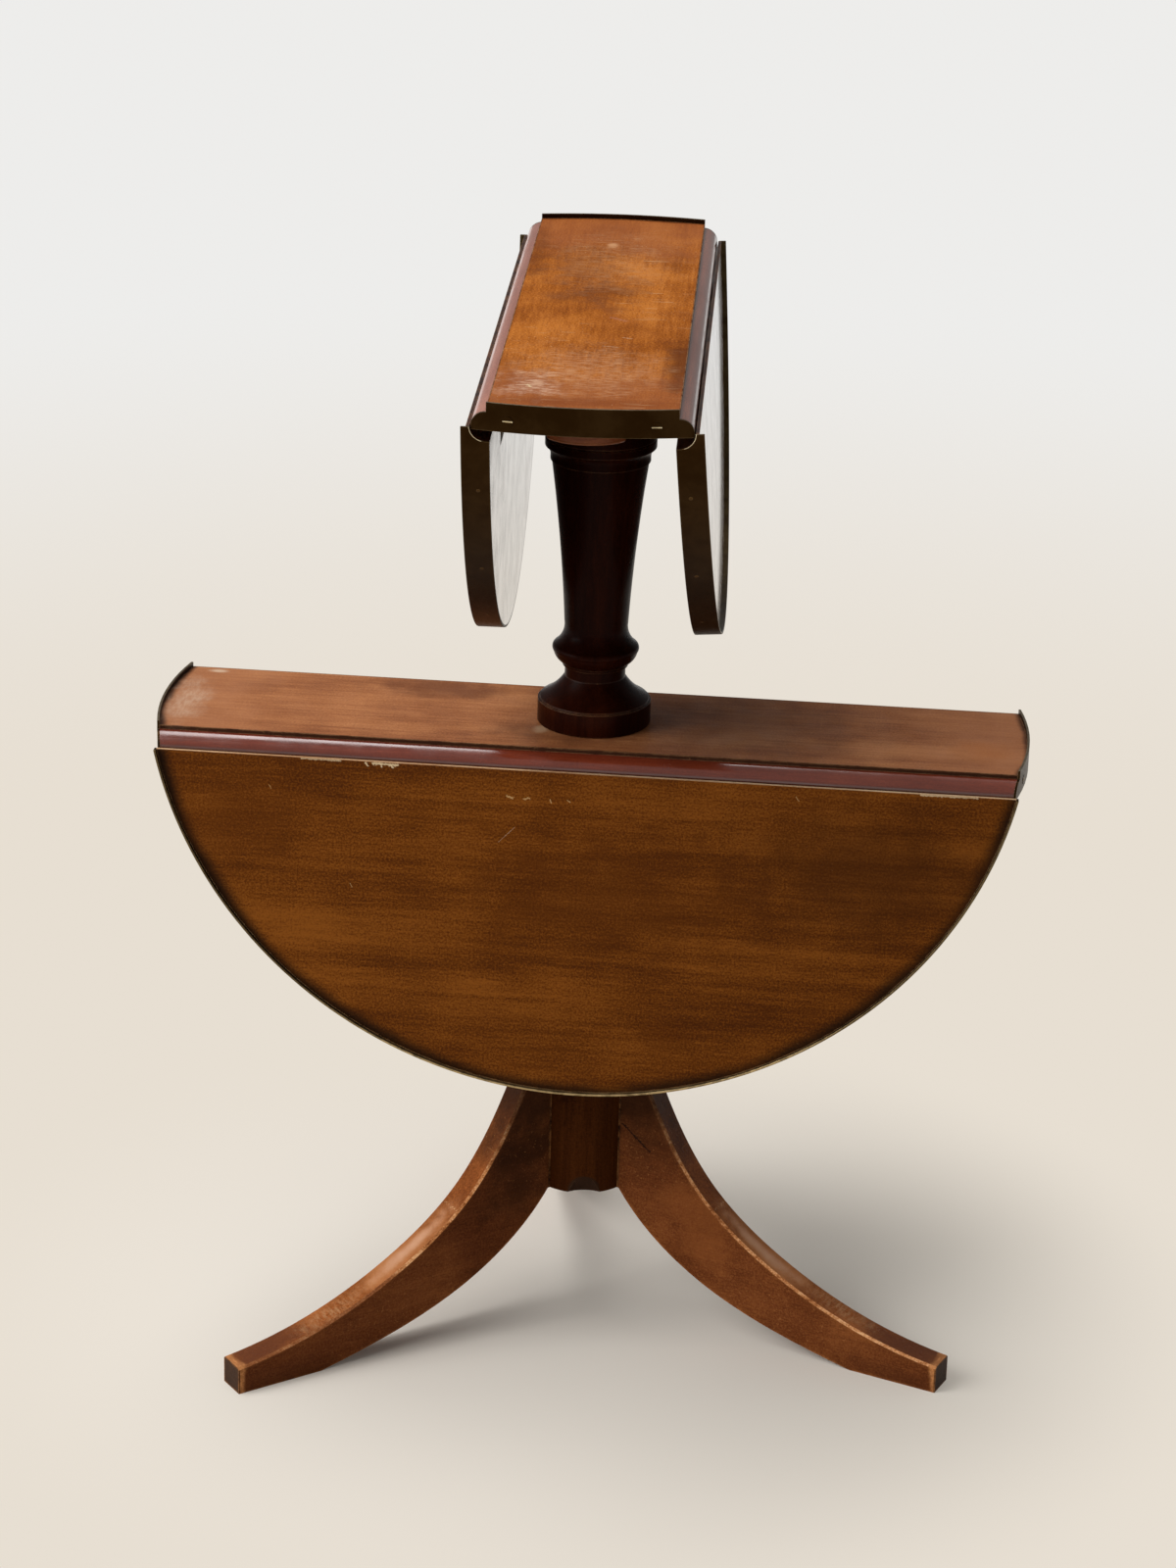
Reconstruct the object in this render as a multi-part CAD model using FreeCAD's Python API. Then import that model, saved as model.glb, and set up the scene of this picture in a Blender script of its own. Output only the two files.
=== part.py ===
import FreeCAD, Part
import math
import os
from collections import namedtuple

# Two-tier drop-leaf table on a turned pedestal with three sabre legs, in millimetres.
# The origin is on the floor under the column's axis, +Z is up and X runs along the lower board.
# It stands as it is used when folded: all four leaves hang, and the upper tier is turned across.

# Tiers, each a round cut into a board and two leaves
lower_radius = 305.0
lower_half_width = 62.0
upper_radius = 263.5
upper_half_width = 60.0
lower_angle = 0.0
upper_angle = 92.5
stiff_leaf_angle = 4.0

# Rule joint, whose pin lies at the centre of the ovolo and of the leaf's cove
step_height = 3.0
ovolo_radius = 9.6
land_height = 2.4
joint_gap = 0.4
cove_clearance = 0.7
pin_depth = step_height + ovolo_radius
board_thick = pin_depth + land_height
cove_radius = ovolo_radius + cove_clearance

# Brass bands round the ends and rims, which stand above the wood
band_thick = 1.6
band_lip = 3.2
band_screw_place_share = 0.77
band_screw_depth_share = 0.53
rim_pin_count = 9
rim_pin_radius = 1.3
rim_pin_length = 11.0

# Table hinges, two to a leaf, let in flush with the undersides
hinge_place_share = 0.55
hinge_width = 38.0
hinge_pin_radius = 1.1
hinge_pin_clearance = 0.05
knuckle_setback = 0.1
knuckle_radius = land_height - knuckle_setback
middle_knuckle_width = 16.0
knuckle_gap = 0.3
flap_thick = 1.4
flap_start = 2.9
board_flap_length = 22.0
leaf_flap_length = 40.0
let_in_gap = 0.3

# Bearers, the bow-ended bars on which the boards turn and raised leaves rest
bearer_angle = 2.5
right_angle = 90.0
bearer_half_width = 25.0
bearer_depth = 19.0
bearer_setback = 46.5
bearer_end_bow = 12.0
bearer_chamfer = 1.5
turn_gap = 0.3

# Turned column in two lengths, to one pattern
cap_radius = 38.5
spigot_radius = 14.0
spigot_clearance = 0.1
spigot_socket_depth = 22.0
cap_tenon_height = 14.0
socket_end_gap = 0.5

# Radius as a share of the cap's, height as a share of the length, from the collar up
collar_radius_share = 1.031
collar_shares = ((collar_radius_share, 0.062), (0.995, 0.062), (0.995, 0.067))
flare_shares = (((0.743, 0.093), (0.551, 0.128)), (0.551, 0.157), (0.597, 0.157), (0.597, 0.166))
bead_shares = (((0.710, 0.179), (0.764, 0.197)), ((0.787, 0.207), (0.743, 0.217)))
vase_shares = (((0.623, 0.239), (0.579, 0.279)), ((0.691, 0.500), (0.873, 0.725)))
ring_shares = ((0.899, 0.725), (0.899, 0.735), ((0.921, 0.752), (1.0, 0.764)))
cap_shares = ((1.0, 0.784), (0.979, 0.784), (0.979, 0.789), (1.0, 0.789), (1.0, 1.0))

# Leg block, the plain foot of the lower column
block_radius = 36.0
block_bottom = 98.0
block_top = 206.0
thumbnail_radius = 24.0
thumbnail_height = 14.0
thumbnail_depth = 5.0

# Sabre legs, dovetailed into the block
leg_names = ("leg_back", "leg_front_left", "leg_front_right")
leg_count = len(leg_names)
pedestal_angle = 8.5
leg_reach = 290.5
leg_thick = 22.0
leg_drop = 2.0
leg_chamfer = 1.6
glue_gap = 0.1
tongue_depth = 10.0
tongue_neck = 10.0
tongue_width = 14.0
tongue_drop = 5.0

# Reach from the block as a share of the leg's, height as a share of the leg's or the block's
leg_top_shares = ((0.05, 1.0), (0.105, 0.84), (0.26, 0.532), (0.504, 0.3), (0.748, 0.167), (1.0, 0.1))
leg_sole_share = 0.74
leg_under_shares = ((leg_sole_share, 0.0), (0.508, 0.15), (0.295, 0.362), (0.118, 0.662), (0.0, 1.0))

# Tie rod from the block's underside to the upper board, with its nuts and washers
rod_radius = 4.0
rod_hole_clearance = 0.4
rod_running_clearance = 0.08
washer_radius = 10.0
washer_thick = 1.6
nut_radius = 7.5
nut_sides = 6
foot_nut_height = 6.5
lock_nut_height = 4.0
rod_projection = 1.0
counterbore_radius = 12.0
counterbore_depth = 11.0
nut_recess_radius = 11.5
nut_recess_headroom = 0.8

# Pivot plate across the underside of the upper board
plate_length = 98.0
plate_width = 28.0
plate_thick = 2.5
plate_screw_place = 41.0
plate_screw_spread = 8.0

# Countersunk wood screws as (head radius, shank radius, length)
Screw = namedtuple("Screw", "head shank length")
band_screw = Screw(3.5, 1.8, 16.0)
bearer_screw = Screw(4.2, 2.2, 38.0)
plate_screw = Screw(3.2, 1.6, 11.0)
bearer_screw_place = 28.0
bearer_screw_spread = 13.0
screw_tip_share = 0.25
fastener_sides = 8

# Heights of the surfaces, set by the room that the hanging leaves need
lower_leaf_reach_below_block = 10.6
upper_leaf_headroom = 80.4
lower_leaf_drop = lower_radius - lower_half_width + pin_depth
upper_leaf_drop = upper_radius - upper_half_width + pin_depth
lower_height = block_top - lower_leaf_reach_below_block + lower_leaf_drop
upper_height = lower_height + upper_leaf_headroom + upper_leaf_drop

overrun = 5.0

Tier = namedtuple("Tier", "name radius half_width height angle bearer_angle ends leaves")
lower_tier = Tier(
    "lower", lower_radius, lower_half_width, lower_height, lower_angle, bearer_angle,
    {"left": -1, "right": 1}, {"front": (-1, 0), "back": (1, 0)},
)
upper_tier = Tier(
    "upper", upper_radius, upper_half_width, upper_height, upper_angle, bearer_angle + right_angle,
    {"front": -1, "back": 1}, {"right": (-1, stiff_leaf_angle), "left": (1, 0)},
)
across = FreeCAD.Vector(1, 0, 0)
depth = FreeCAD.Vector(0, 1, 0)
up = FreeCAD.Vector(0, 0, 1)
origin = FreeCAD.Vector(0, 0, 0)


def face_of(start, steps, place):
    """Face inside an outline: a step is a point, or a middle point and an end point of an arc."""
    here = place(*start)
    edges = []
    closed = steps[-1][-1] == start
    for step in steps if closed else steps + [start]:
        if isinstance(step[0], tuple):
            middle, end = place(*step[0]), place(*step[1])
            edges.append(Part.Arc(here, middle, end).toShape())
        else:
            end = place(*step)
            edges.append(Part.LineSegment(here, end).toShape())
        here = end
    return Part.Face(Part.Wire(edges))


def in_section(y, z):
    return FreeCAD.Vector(0, y, z)


def in_profile(radius, z):
    return FreeCAD.Vector(radius, 0, z)


def in_plan(x, y):
    return FreeCAD.Vector(x, y, 0)


def block(low, high):
    """Box between two corners."""
    low, high = FreeCAD.Vector(*low), FreeCAD.Vector(*high)
    size = high - low
    return Part.makeBox(size.x, size.y, size.z, low)


def rod(radius, length, base, direction=up):
    return Part.makeCylinder(radius, length, base, direction)


def turned(shape, degrees):
    """Shape turned about the column's axis."""
    shape = shape.copy()
    shape.rotate(origin, up, degrees)
    return shape


def lifted(shape, height):
    shape = shape.copy()
    shape.translate(up * height)
    return shape


def on_side(shape, side):
    """A shape drawn for the side +1, or its mirror image for the side -1."""
    return shape if side > 0 else shape.mirror(origin, depth)


def polygon(radius, sides, height):
    """Corners of a regular polygon about the vertical axis, back to the first."""
    turns = [2 * math.pi * corner / sides for corner in range(sides + 1)]
    return [FreeCAD.Vector(radius * math.cos(a), radius * math.sin(a), height) for a in turns]


def flat_sided(sections, sides):
    """Solid with flat sides through regular polygons, given as (radius, height)."""
    rings = [polygon(radius, sides, height) for radius, height in sections]
    outlines = [rings[0], rings[-1]]
    for ring, following in zip(rings, rings[1:]):
        for corner in range(sides):
            near, far = ring[corner:corner + 2], following[corner:corner + 2]
            outlines.append(near + far[::-1] + near[:1])
    shell = Part.makeShell([Part.Face(Part.makePolygon(outline)) for outline in outlines])
    solid = Part.makeSolid(shell)
    if solid.Volume < 0:
        solid.reverse()
    return solid


def wood_screw(screw):
    """Countersunk screw pointing down, its head's face at the origin's height."""
    neck, tip = screw.head - screw.shank, screw.length - screw.shank
    sections = (
        (screw.head, 0), (screw.shank, -neck), (screw.shank, -tip),
        (screw.shank * screw_tip_share, -screw.length),
    )
    return flat_sided(sections, fastener_sides)


def hexagon_nut(radius, height, hole, base_height):
    """Hexagon nut about the column's axis."""
    nut = flat_sided(((radius, 0), (radius, height)), nut_sides)
    return lifted(nut.cut(rod(hole, height, origin)), base_height)


def washer(radius, thick, hole, base_height):
    ring = rod(radius, thick, origin).cut(rod(hole, thick, origin))
    return lifted(ring, base_height)


# Boards, leaves and bands, drawn with the top surface at height zero and the leaves raised


def board_section(tier, rise):
    """The board's cross-section: a step, an ovolo and a short land on each side."""
    w = tier.half_width
    edge = w + ovolo_radius
    reach = ovolo_radius * math.sqrt(0.5)
    start = (w, rise)
    steps = [
        (w, -step_height),
        ((w + reach, reach - pin_depth), (edge, -pin_depth)),
        (edge, -board_thick),
        (-edge, -board_thick),
        (-edge, -pin_depth),
        ((-w - reach, reach - pin_depth), (-w, -step_height)),
        (-w, rise),
    ]
    return face_of(start, steps, in_section)


def leaf_section(tier, rise):
    """The cross-section of the leaf on the side +1: a cove that closes over the ovolo."""
    w = tier.half_width
    reach = cove_radius * math.sqrt(0.5)
    lip = math.sqrt(cove_radius**2 - joint_gap**2)
    start = (w + joint_gap, rise)
    steps = [
        (tier.radius + overrun, rise),
        (tier.radius + overrun, -board_thick),
        (w + cove_radius, -board_thick),
        (w + cove_radius, -pin_depth),
        ((w + reach, reach - pin_depth), (w + joint_gap, lip - pin_depth)),
    ]
    return face_of(start, steps, in_section)


def along(section, tier):
    """The section drawn out over the whole round."""
    length = 2 * tier.radius + 2 * overrun
    solid = section.extrude(across * length)
    solid.translate(across * (-length / 2))
    return solid


def disc(radius):
    """Upright cylinder that holds the full thickness of a tier."""
    return rod(radius, board_thick + band_lip + 2 * overrun, -up * (board_thick + overrun))


def band_ring(tier):
    return disc(tier.radius).cut(disc(tier.radius - band_thick))


def end_half(tier, end):
    """Box over one end of a board, left of or right of the column."""
    far = tier.radius + overrun
    low, high = sorted((0, end * far))
    return block((low, -far, -board_thick - overrun), (high, far, band_lip + overrun))


def raw_board(tier):
    return along(board_section(tier, 0), tier).common(disc(tier.radius - band_thick))


def end_band(tier, end):
    return along(board_section(tier, band_lip), tier).common(band_ring(tier)).common(end_half(tier, end))


def raw_leaf(tier):
    return along(leaf_section(tier, 0), tier).common(disc(tier.radius - band_thick))


def rim_band(tier):
    return along(leaf_section(tier, band_lip), tier).common(band_ring(tier))


def end_screws(tier, end):
    """Two screws through a board's end band, each square to the band."""
    screws = []
    for side in (-1, 1):
        screw = wood_screw(band_screw)
        screw.rotate(origin, depth, 90 * end)
        screw.translate(across * (end * tier.radius) - up * (board_thick * band_screw_depth_share))
        bearing = math.degrees(math.asin(band_screw_place_share * tier.half_width / tier.radius))
        screws.append(turned(screw, side * bearing))
    return screws


def rim_pins(tier):
    """Pins through the rim band of the leaf on the side +1, evenly spaced along the arc."""
    half_arc = math.degrees(math.acos((tier.half_width + cove_radius) / tier.radius))
    spacing = 2 * half_arc / rim_pin_count
    pins = []
    for number in range(rim_pin_count):
        pin = flat_sided(((rim_pin_radius, 0), (rim_pin_radius, rim_pin_length)), fastener_sides)
        pin.rotate(origin, across, 90)
        pin.translate(depth * tier.radius - up * (board_thick / 2))
        pins.append(turned(pin, (number + 0.5) * spacing - half_arc))
    return pins


# Hinges on the side +1, with the leaf raised


def hinge_places(tier):
    half = math.sqrt(tier.radius**2 - tier.half_width**2)
    return (-hinge_place_share * half, hinge_place_share * half)


def hinge_line(tier, x):
    """Point on the hinge pin's axis at x."""
    return FreeCAD.Vector(x, tier.half_width, -pin_depth)


def knuckle(tier, x, start, end):
    """Round knuckle about the pin, from start to end along the hinge."""
    return rod(knuckle_radius, end - start, hinge_line(tier, x + start), across)


def flap(tier, x, half, near, far):
    """Flat plate flush with the underside, between two distances from the pin."""
    w, base = tier.half_width, -board_thick
    low, high = sorted((near, far))
    return block((x - half, w + low, base), (x + half, w + high, base + flap_thick))


def pin_bore(tier, x):
    bore = hinge_pin_radius + hinge_pin_clearance
    return rod(bore, hinge_width + 2 * overrun, hinge_line(tier, x - hinge_width / 2 - overrun), across)


def board_flap(tier, x):
    """Short flap with the two outer knuckles."""
    half, middle = hinge_width / 2, middle_knuckle_width / 2 + knuckle_gap
    parts = []
    for start, end in ((-half, -middle), (middle, half)):
        parts.append(knuckle(tier, x, start, end))
        centre, reach = x + (start + end) / 2, (end - start) / 2
        parts.append(flap(tier, centre, reach, 0, -flap_start))
    plate = flap(tier, x, half, -flap_start, -board_flap_length)
    return plate.fuse(parts).removeSplitter().cut(pin_bore(tier, x))


def leaf_flap(tier, x):
    """Long flap with the middle knuckle."""
    middle = middle_knuckle_width / 2
    parts = [knuckle(tier, x, -middle, middle), flap(tier, x, middle, 0, flap_start)]
    plate = flap(tier, x, hinge_width / 2, flap_start, leaf_flap_length)
    return plate.fuse(parts).removeSplitter().cut(pin_bore(tier, x))


def hinge_pin(tier, x):
    return rod(hinge_pin_radius, hinge_width, hinge_line(tier, x - hinge_width / 2), across)


def board_hinge_recess(tier, x):
    """Room in the board for the short flap, the knuckles and the raised leaf's long flap."""
    w, half = tier.half_width, hinge_width / 2 + let_in_gap
    sweep = land_height + turn_gap
    base = -board_thick - overrun
    for_flaps = block(
        (x - half, w - board_flap_length - let_in_gap, base),
        (x + half, w + ovolo_radius + overrun, flap_thick + let_in_gap - board_thick),
    )
    for_knuckles = rod(sweep, 2 * half, hinge_line(tier, x - half), across)
    below_knuckles = block((x - half, w - sweep, base), (x + half, w + sweep, -pin_depth))
    return for_flaps.fuse([for_knuckles, below_knuckles])


def leaf_hinge_recess(tier, x):
    w, half = tier.half_width, hinge_width / 2 + let_in_gap
    return block(
        (x - half, w, -board_thick - overrun),
        (x + half, w + leaf_flap_length + let_in_gap, flap_thick + let_in_gap - board_thick),
    )


# Bearers and the pivot plate


def bearer_underside(tier):
    return tier.height - board_thick - turn_gap - bearer_depth


def bearer_bar(tier):
    """Bow-ended bar under a board, set back from the board's ends."""
    half, b = tier.radius - bearer_setback, bearer_half_width
    straight = half - bearer_end_bow
    start = (-straight, -b)
    steps = [(straight, -b), ((half, 0), (straight, b)), (-straight, b), ((-half, 0), start)]
    bar = face_of(start, steps, in_plan).extrude(up * bearer_depth)
    under = [e for e in bar.Edges if e.BoundBox.ZMax < bearer_depth / 2]
    bar = bar.makeChamfer(bearer_chamfer, under)
    return turned(lifted(bar, bearer_underside(tier)), tier.bearer_angle)


def bearer_screws(tier):
    """Four screws down through a bearer into the cap below it."""
    screws = []
    for x in (-bearer_screw_place, bearer_screw_place):
        for y in (-bearer_screw_spread, bearer_screw_spread):
            screw = wood_screw(bearer_screw)
            screw.translate(FreeCAD.Vector(x, y, bearer_underside(tier) + bearer_depth))
            screws.append(turned(screw, tier.bearer_angle))
    return screws


def pivot_plate():
    """Strap across the upper board's underside, drawn with the board's top at height zero."""
    x, y, base = plate_width / 2, plate_length / 2, -board_thick
    strap = block((-x, -y, base), (x, y, base + plate_thick))
    hole = rod(rod_radius + rod_running_clearance, plate_thick, up * base)
    return strap.cut(hole)


def plate_screws():
    """Four screws up through the plate's two ends."""
    screws = []
    for x in (-plate_screw_spread, plate_screw_spread):
        for y in (-plate_screw_place, plate_screw_place):
            screw = wood_screw(plate_screw)
            screw.rotate(origin, across, 180)
            screw.translate(FreeCAD.Vector(x, y, -board_thick))
            screws.append(screw)
    return screws


def plate_recess():
    """Let-in for the plate and, above it, the pocket for the washer, the nut and the rod's end."""
    x, y = plate_width / 2 + let_in_gap, plate_length / 2 + let_in_gap
    base = -board_thick
    seat = block((-x, -y, base - overrun), (x, y, base + plate_thick))
    tall = plate_thick + turn_gap + washer_thick + lock_nut_height + rod_projection + nut_recess_headroom
    pocket = rod(nut_recess_radius, tall, up * base)
    return seat.fuse(pocket)


# Column


def turned_length(base, length):
    """One length of the column, from its collar to its cap, without bores."""
    def scaled(share):
        if isinstance(share[0], tuple):
            return tuple(scaled(s) for s in share)
        return (share[0] * cap_radius, base + share[1] * length)

    shares = collar_shares + flare_shares + bead_shares + vase_shares + ring_shares + cap_shares
    steps = [(collar_radius_share * cap_radius, base)]
    steps += [scaled(s) for s in shares] + [(0, base + length)]
    return face_of((0, base), steps, in_profile).revolve(origin, up, 360)


def lower_column():
    """Leg block and the length up to the lower bearer, bored for the rod and the spigot."""
    top = bearer_underside(lower_tier)
    solid = rod(block_radius, block_top - block_bottom, up * block_bottom)
    solid = solid.fuse(turned_length(block_top, top - block_top))
    bores = [
        rod(rod_radius + rod_hole_clearance, top, origin),
        rod(spigot_radius + spigot_clearance, spigot_socket_depth, up * (top - spigot_socket_depth)),
        rod(counterbore_radius, counterbore_depth, up * block_bottom),
    ]
    step = 360 / leg_count
    for number in range(leg_count):
        bearing = leg_bearing(number)
        bores.append(turned(leg_socket(), bearing))
        bores.append(turned(thumbnail(), bearing + step / 2))
    return solid.cut(bores + bearer_screws(lower_tier))


def thumbnail():
    """Arched scoop at the block's foot, halfway between two legs, which leans out to nothing at its top."""
    heel = FreeCAD.Vector(block_radius - thumbnail_depth, 0, block_bottom)
    base = heel + across * thumbnail_radius - up * overrun
    scoop = rod(thumbnail_radius, thumbnail_height + 2 * overrun, base)
    scoop.rotate(heel, depth, math.degrees(math.atan2(thumbnail_depth, thumbnail_height)))
    return scoop


def upper_column():
    """Length between the tiers, with the spigot that the lower board turns on."""
    base = lower_height + turn_gap
    top = bearer_underside(upper_tier)
    spigot_end = bearer_underside(lower_tier) - spigot_socket_depth + socket_end_gap
    spigot = rod(spigot_radius, base - spigot_end, up * spigot_end)
    tenon = rod(spigot_radius, cap_tenon_height, up * top)
    solid = turned_length(base, top - base).fuse([spigot, tenon])
    bore = rod(rod_radius + rod_hole_clearance, top + bearer_depth, origin)
    return solid.cut([bore] + bearer_screws(upper_tier))


def lower_bearer():
    hole = rod(spigot_radius + spigot_clearance, bearer_depth, up * bearer_underside(lower_tier))
    return bearer_bar(lower_tier).cut([hole] + bearer_screws(lower_tier))


def upper_bearer():
    base = bearer_underside(upper_tier)
    socket = rod(spigot_radius + spigot_clearance, cap_tenon_height + socket_end_gap, up * base)
    hole = rod(rod_radius + rod_hole_clearance, bearer_depth, up * base)
    return bearer_bar(upper_tier).cut([socket, hole] + bearer_screws(upper_tier))


# Legs, drawn along +X


def leg_bearing(number):
    """Bearing of a leg: the first stands at the back."""
    return right_angle + pedestal_angle + number * 360 / leg_count


def curve_through(points):
    curve = Part.BSplineCurve()
    curve.interpolate(points)
    return curve.toShape()


def dovetail(gap):
    """Dovetail tongue with a gap all round, from the block's underside up."""
    tall = block_top - leg_drop - tongue_drop - block_bottom
    neck, wide = tongue_neck / 2 + gap, tongue_width / 2 + gap
    root = block_radius - tongue_depth - gap
    start = (root, -wide)
    steps = [(block_radius, -neck), (block_radius, neck), (root, wide)]
    return lifted(face_of(start, steps, in_plan).extrude(up * (tall + gap)), block_bottom)


def leg_socket():
    """Dovetail slot in the block, open at the bottom and through its surface."""
    slot = dovetail(glue_gap)
    mouth = block(
        (block_radius - leg_thick / 4, -tongue_neck / 2 - glue_gap, block_bottom),
        (block_radius + overrun, tongue_neck / 2 + glue_gap, slot.BoundBox.ZMax),
    )
    return slot.fuse(mouth)


def leg():
    """Sabre leg: a sweep of timber of even thickness, with its dovetail tongue."""
    span = leg_reach - block_radius
    tall = block_top - leg_drop
    top = [in_profile(block_radius + r * span, z * tall) for r, z in leg_top_shares]
    under = [in_profile(block_radius + r * span, z * block_bottom) for r, z in leg_under_shares]
    inner = block_radius / 2
    corners = [in_profile(inner, block_bottom), in_profile(inner, tall)]
    toe = in_profile(leg_reach, 0)
    edges = [
        curve_through(top),
        Part.LineSegment(top[-1], toe).toShape(),
        Part.LineSegment(toe, under[0]).toShape(),
        curve_through(under),
        Part.LineSegment(under[-1], corners[0]).toShape(),
        Part.LineSegment(corners[0], corners[1]).toShape(),
        Part.LineSegment(corners[1], top[0]).toShape(),
    ]
    blank = Part.Face(Part.Wire(edges)).extrude(depth * leg_thick)
    blank.translate(-depth * (leg_thick / 2))
    ridges = [e for e in blank.Edges if runs_along(e, top[0], top[-1])]
    blank = blank.makeChamfer(leg_chamfer, ridges)
    shoulder = rod(block_radius + glue_gap, tall + overrun, -up * overrun)
    neck = block(
        (block_radius - leg_thick / 4, -tongue_neck / 2, block_bottom),
        (block_radius + leg_thick / 4, tongue_neck / 2, tall - tongue_drop),
    )
    return blank.cut(shoulder).fuse([dovetail(0), neck.common(blank)]).removeSplitter()


def runs_along(edge, first, last):
    """True for an edge from one end of the leg's top curve to the other."""
    box = edge.BoundBox
    reaches = abs(box.XMin - first.x) < glue_gap and abs(box.XMax - last.x) < glue_gap
    return reaches and abs(box.ZMax - first.z) < glue_gap and abs(box.ZMin - last.z) < glue_gap


# Rod, nuts and washers


def foot_washer_top():
    return block_bottom + counterbore_depth


def lock_washer_base():
    return upper_height - board_thick + plate_thick + turn_gap


def tie_rod():
    base = foot_washer_top() - washer_thick - foot_nut_height - rod_projection
    top = lock_washer_base() + washer_thick + lock_nut_height + rod_projection
    return rod(rod_radius, top - base, up * base)


# Assembly


def tier_pieces(tier):
    """Every piece of one tier in its place, by name."""
    boards, flaps, pins, leaves = [], [], [], {}
    board = raw_board(tier)
    cuts = []
    for leaf_name, (side, splay) in tier.leaves.items():
        places = hinge_places(tier)
        cuts += [on_side(board_hinge_recess(tier, x), side) for x in places]
        flaps += [on_side(board_flap(tier, x), side) for x in places]
        pins += [on_side(hinge_pin(tier, x), side) for x in places]
        nails = rim_pins(tier)
        wood = raw_leaf(tier).cut([leaf_hinge_recess(tier, x) for x in places] + nails)
        hung = {
            f"{tier.name}_leaf_{leaf_name}": wood,
            f"{tier.name}_leaf_{leaf_name}_band": rim_band(tier).cut(nails),
            f"{tier.name}_leaf_{leaf_name}_band_pins": Part.makeCompound(nails),
            f"{tier.name}_leaf_{leaf_name}_hinge_flaps": Part.makeCompound(
                [leaf_flap(tier, x) for x in places]
            ),
        }
        for name, shape in hung.items():
            leaves[name] = hang(on_side(shape, side), tier, side, splay)
    screws = [end_screws(tier, end) for end in tier.ends.values()]
    all_screws = screws[0] + screws[1]
    pieces = {
        f"{tier.name}_board_band_{name}": end_band(tier, end).cut(all_screws)
        for name, end in tier.ends.items()
    }
    pieces[f"{tier.name}_band_screws"] = Part.makeCompound(all_screws)
    pieces[f"{tier.name}_hinge_board_flaps"] = Part.makeCompound(flaps)
    pieces[f"{tier.name}_hinge_pins"] = Part.makeCompound(pins)
    if tier is upper_tier:
        plate_nails = plate_screws()
        pieces["pivot_plate"] = pivot_plate().cut(plate_nails)
        pieces["pivot_plate_screws"] = Part.makeCompound(plate_nails)
        cuts += [plate_recess()] + plate_nails
    else:
        cuts.append(rod(spigot_radius + spigot_clearance, board_thick, -up * board_thick))
    pieces[f"{tier.name}_board"] = board.cut(cuts + all_screws)
    pieces.update(leaves)
    return {name: lifted(turned(shape, tier.angle), tier.height) for name, shape in pieces.items()}


def hang(shape, tier, side, splay):
    """A raised leaf's piece swung down about the pin, short of plumb by the splay."""
    shape = shape.copy()
    shape.rotate(FreeCAD.Vector(0, side * tier.half_width, -pin_depth), across, side * (splay - right_angle))
    return shape


def pedestal_pieces():
    """Every piece that stands still, by name."""
    hole = rod_radius + glue_gap
    pieces = {name: turned(leg(), leg_bearing(number)) for number, name in enumerate(leg_names)}
    foot_washer_base = foot_washer_top() - washer_thick
    lock_nut_base = lock_washer_base() + washer_thick
    pieces.update({
        "lower_column": lower_column(),
        "lower_bearer": lower_bearer(),
        "lower_bearer_screws": Part.makeCompound(bearer_screws(lower_tier)),
        "upper_column": upper_column(),
        "upper_bearer": upper_bearer(),
        "upper_bearer_screws": Part.makeCompound(bearer_screws(upper_tier)),
        "tie_rod": tie_rod(),
        "tie_rod_foot_washer": washer(washer_radius, washer_thick, hole, foot_washer_base),
        "tie_rod_foot_nut": hexagon_nut(nut_radius, foot_nut_height, hole, foot_washer_base - foot_nut_height),
        "pivot_washer": washer(washer_radius, washer_thick, hole, lock_washer_base()),
        "pivot_lock_nut": hexagon_nut(nut_radius, lock_nut_height, hole, lock_nut_base),
    })
    return pieces


def main():
    os.makedirs("parts", exist_ok=True)
    pieces = pedestal_pieces()
    pieces.update(tier_pieces(lower_tier))
    pieces.update(tier_pieces(upper_tier))
    for name, shape in pieces.items():
        shape.exportStep(f"parts/{name}.step")
        box = shape.BoundBox
        print(name, len(shape.Solids), shape.isValid(), round(shape.Volume),
              [round(v, 1) for v in (box.XMin, box.YMin, box.ZMin, box.XMax, box.YMax, box.ZMax)])
    print(len(pieces), "pieces")


main()
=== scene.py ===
"""Looks of a two-tier drop-leaf table in mahogany with brass-banded boards.

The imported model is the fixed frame. Each sub-assembly is a class that builds finer meshes over its nodes and
dresses them. Lengths are in metres. Boards, leaves and bands are drawn as if raised and level, with the top
surface at height zero and the grain along X, and are then placed where they stand.
"""

import logging
import math
from dataclasses import dataclass, field, replace
from enum import Enum, IntEnum
from typing import Callable, NamedTuple, Sequence

import bmesh
import bpy
import numpy as np
from mathutils import Matrix, Vector


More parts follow.
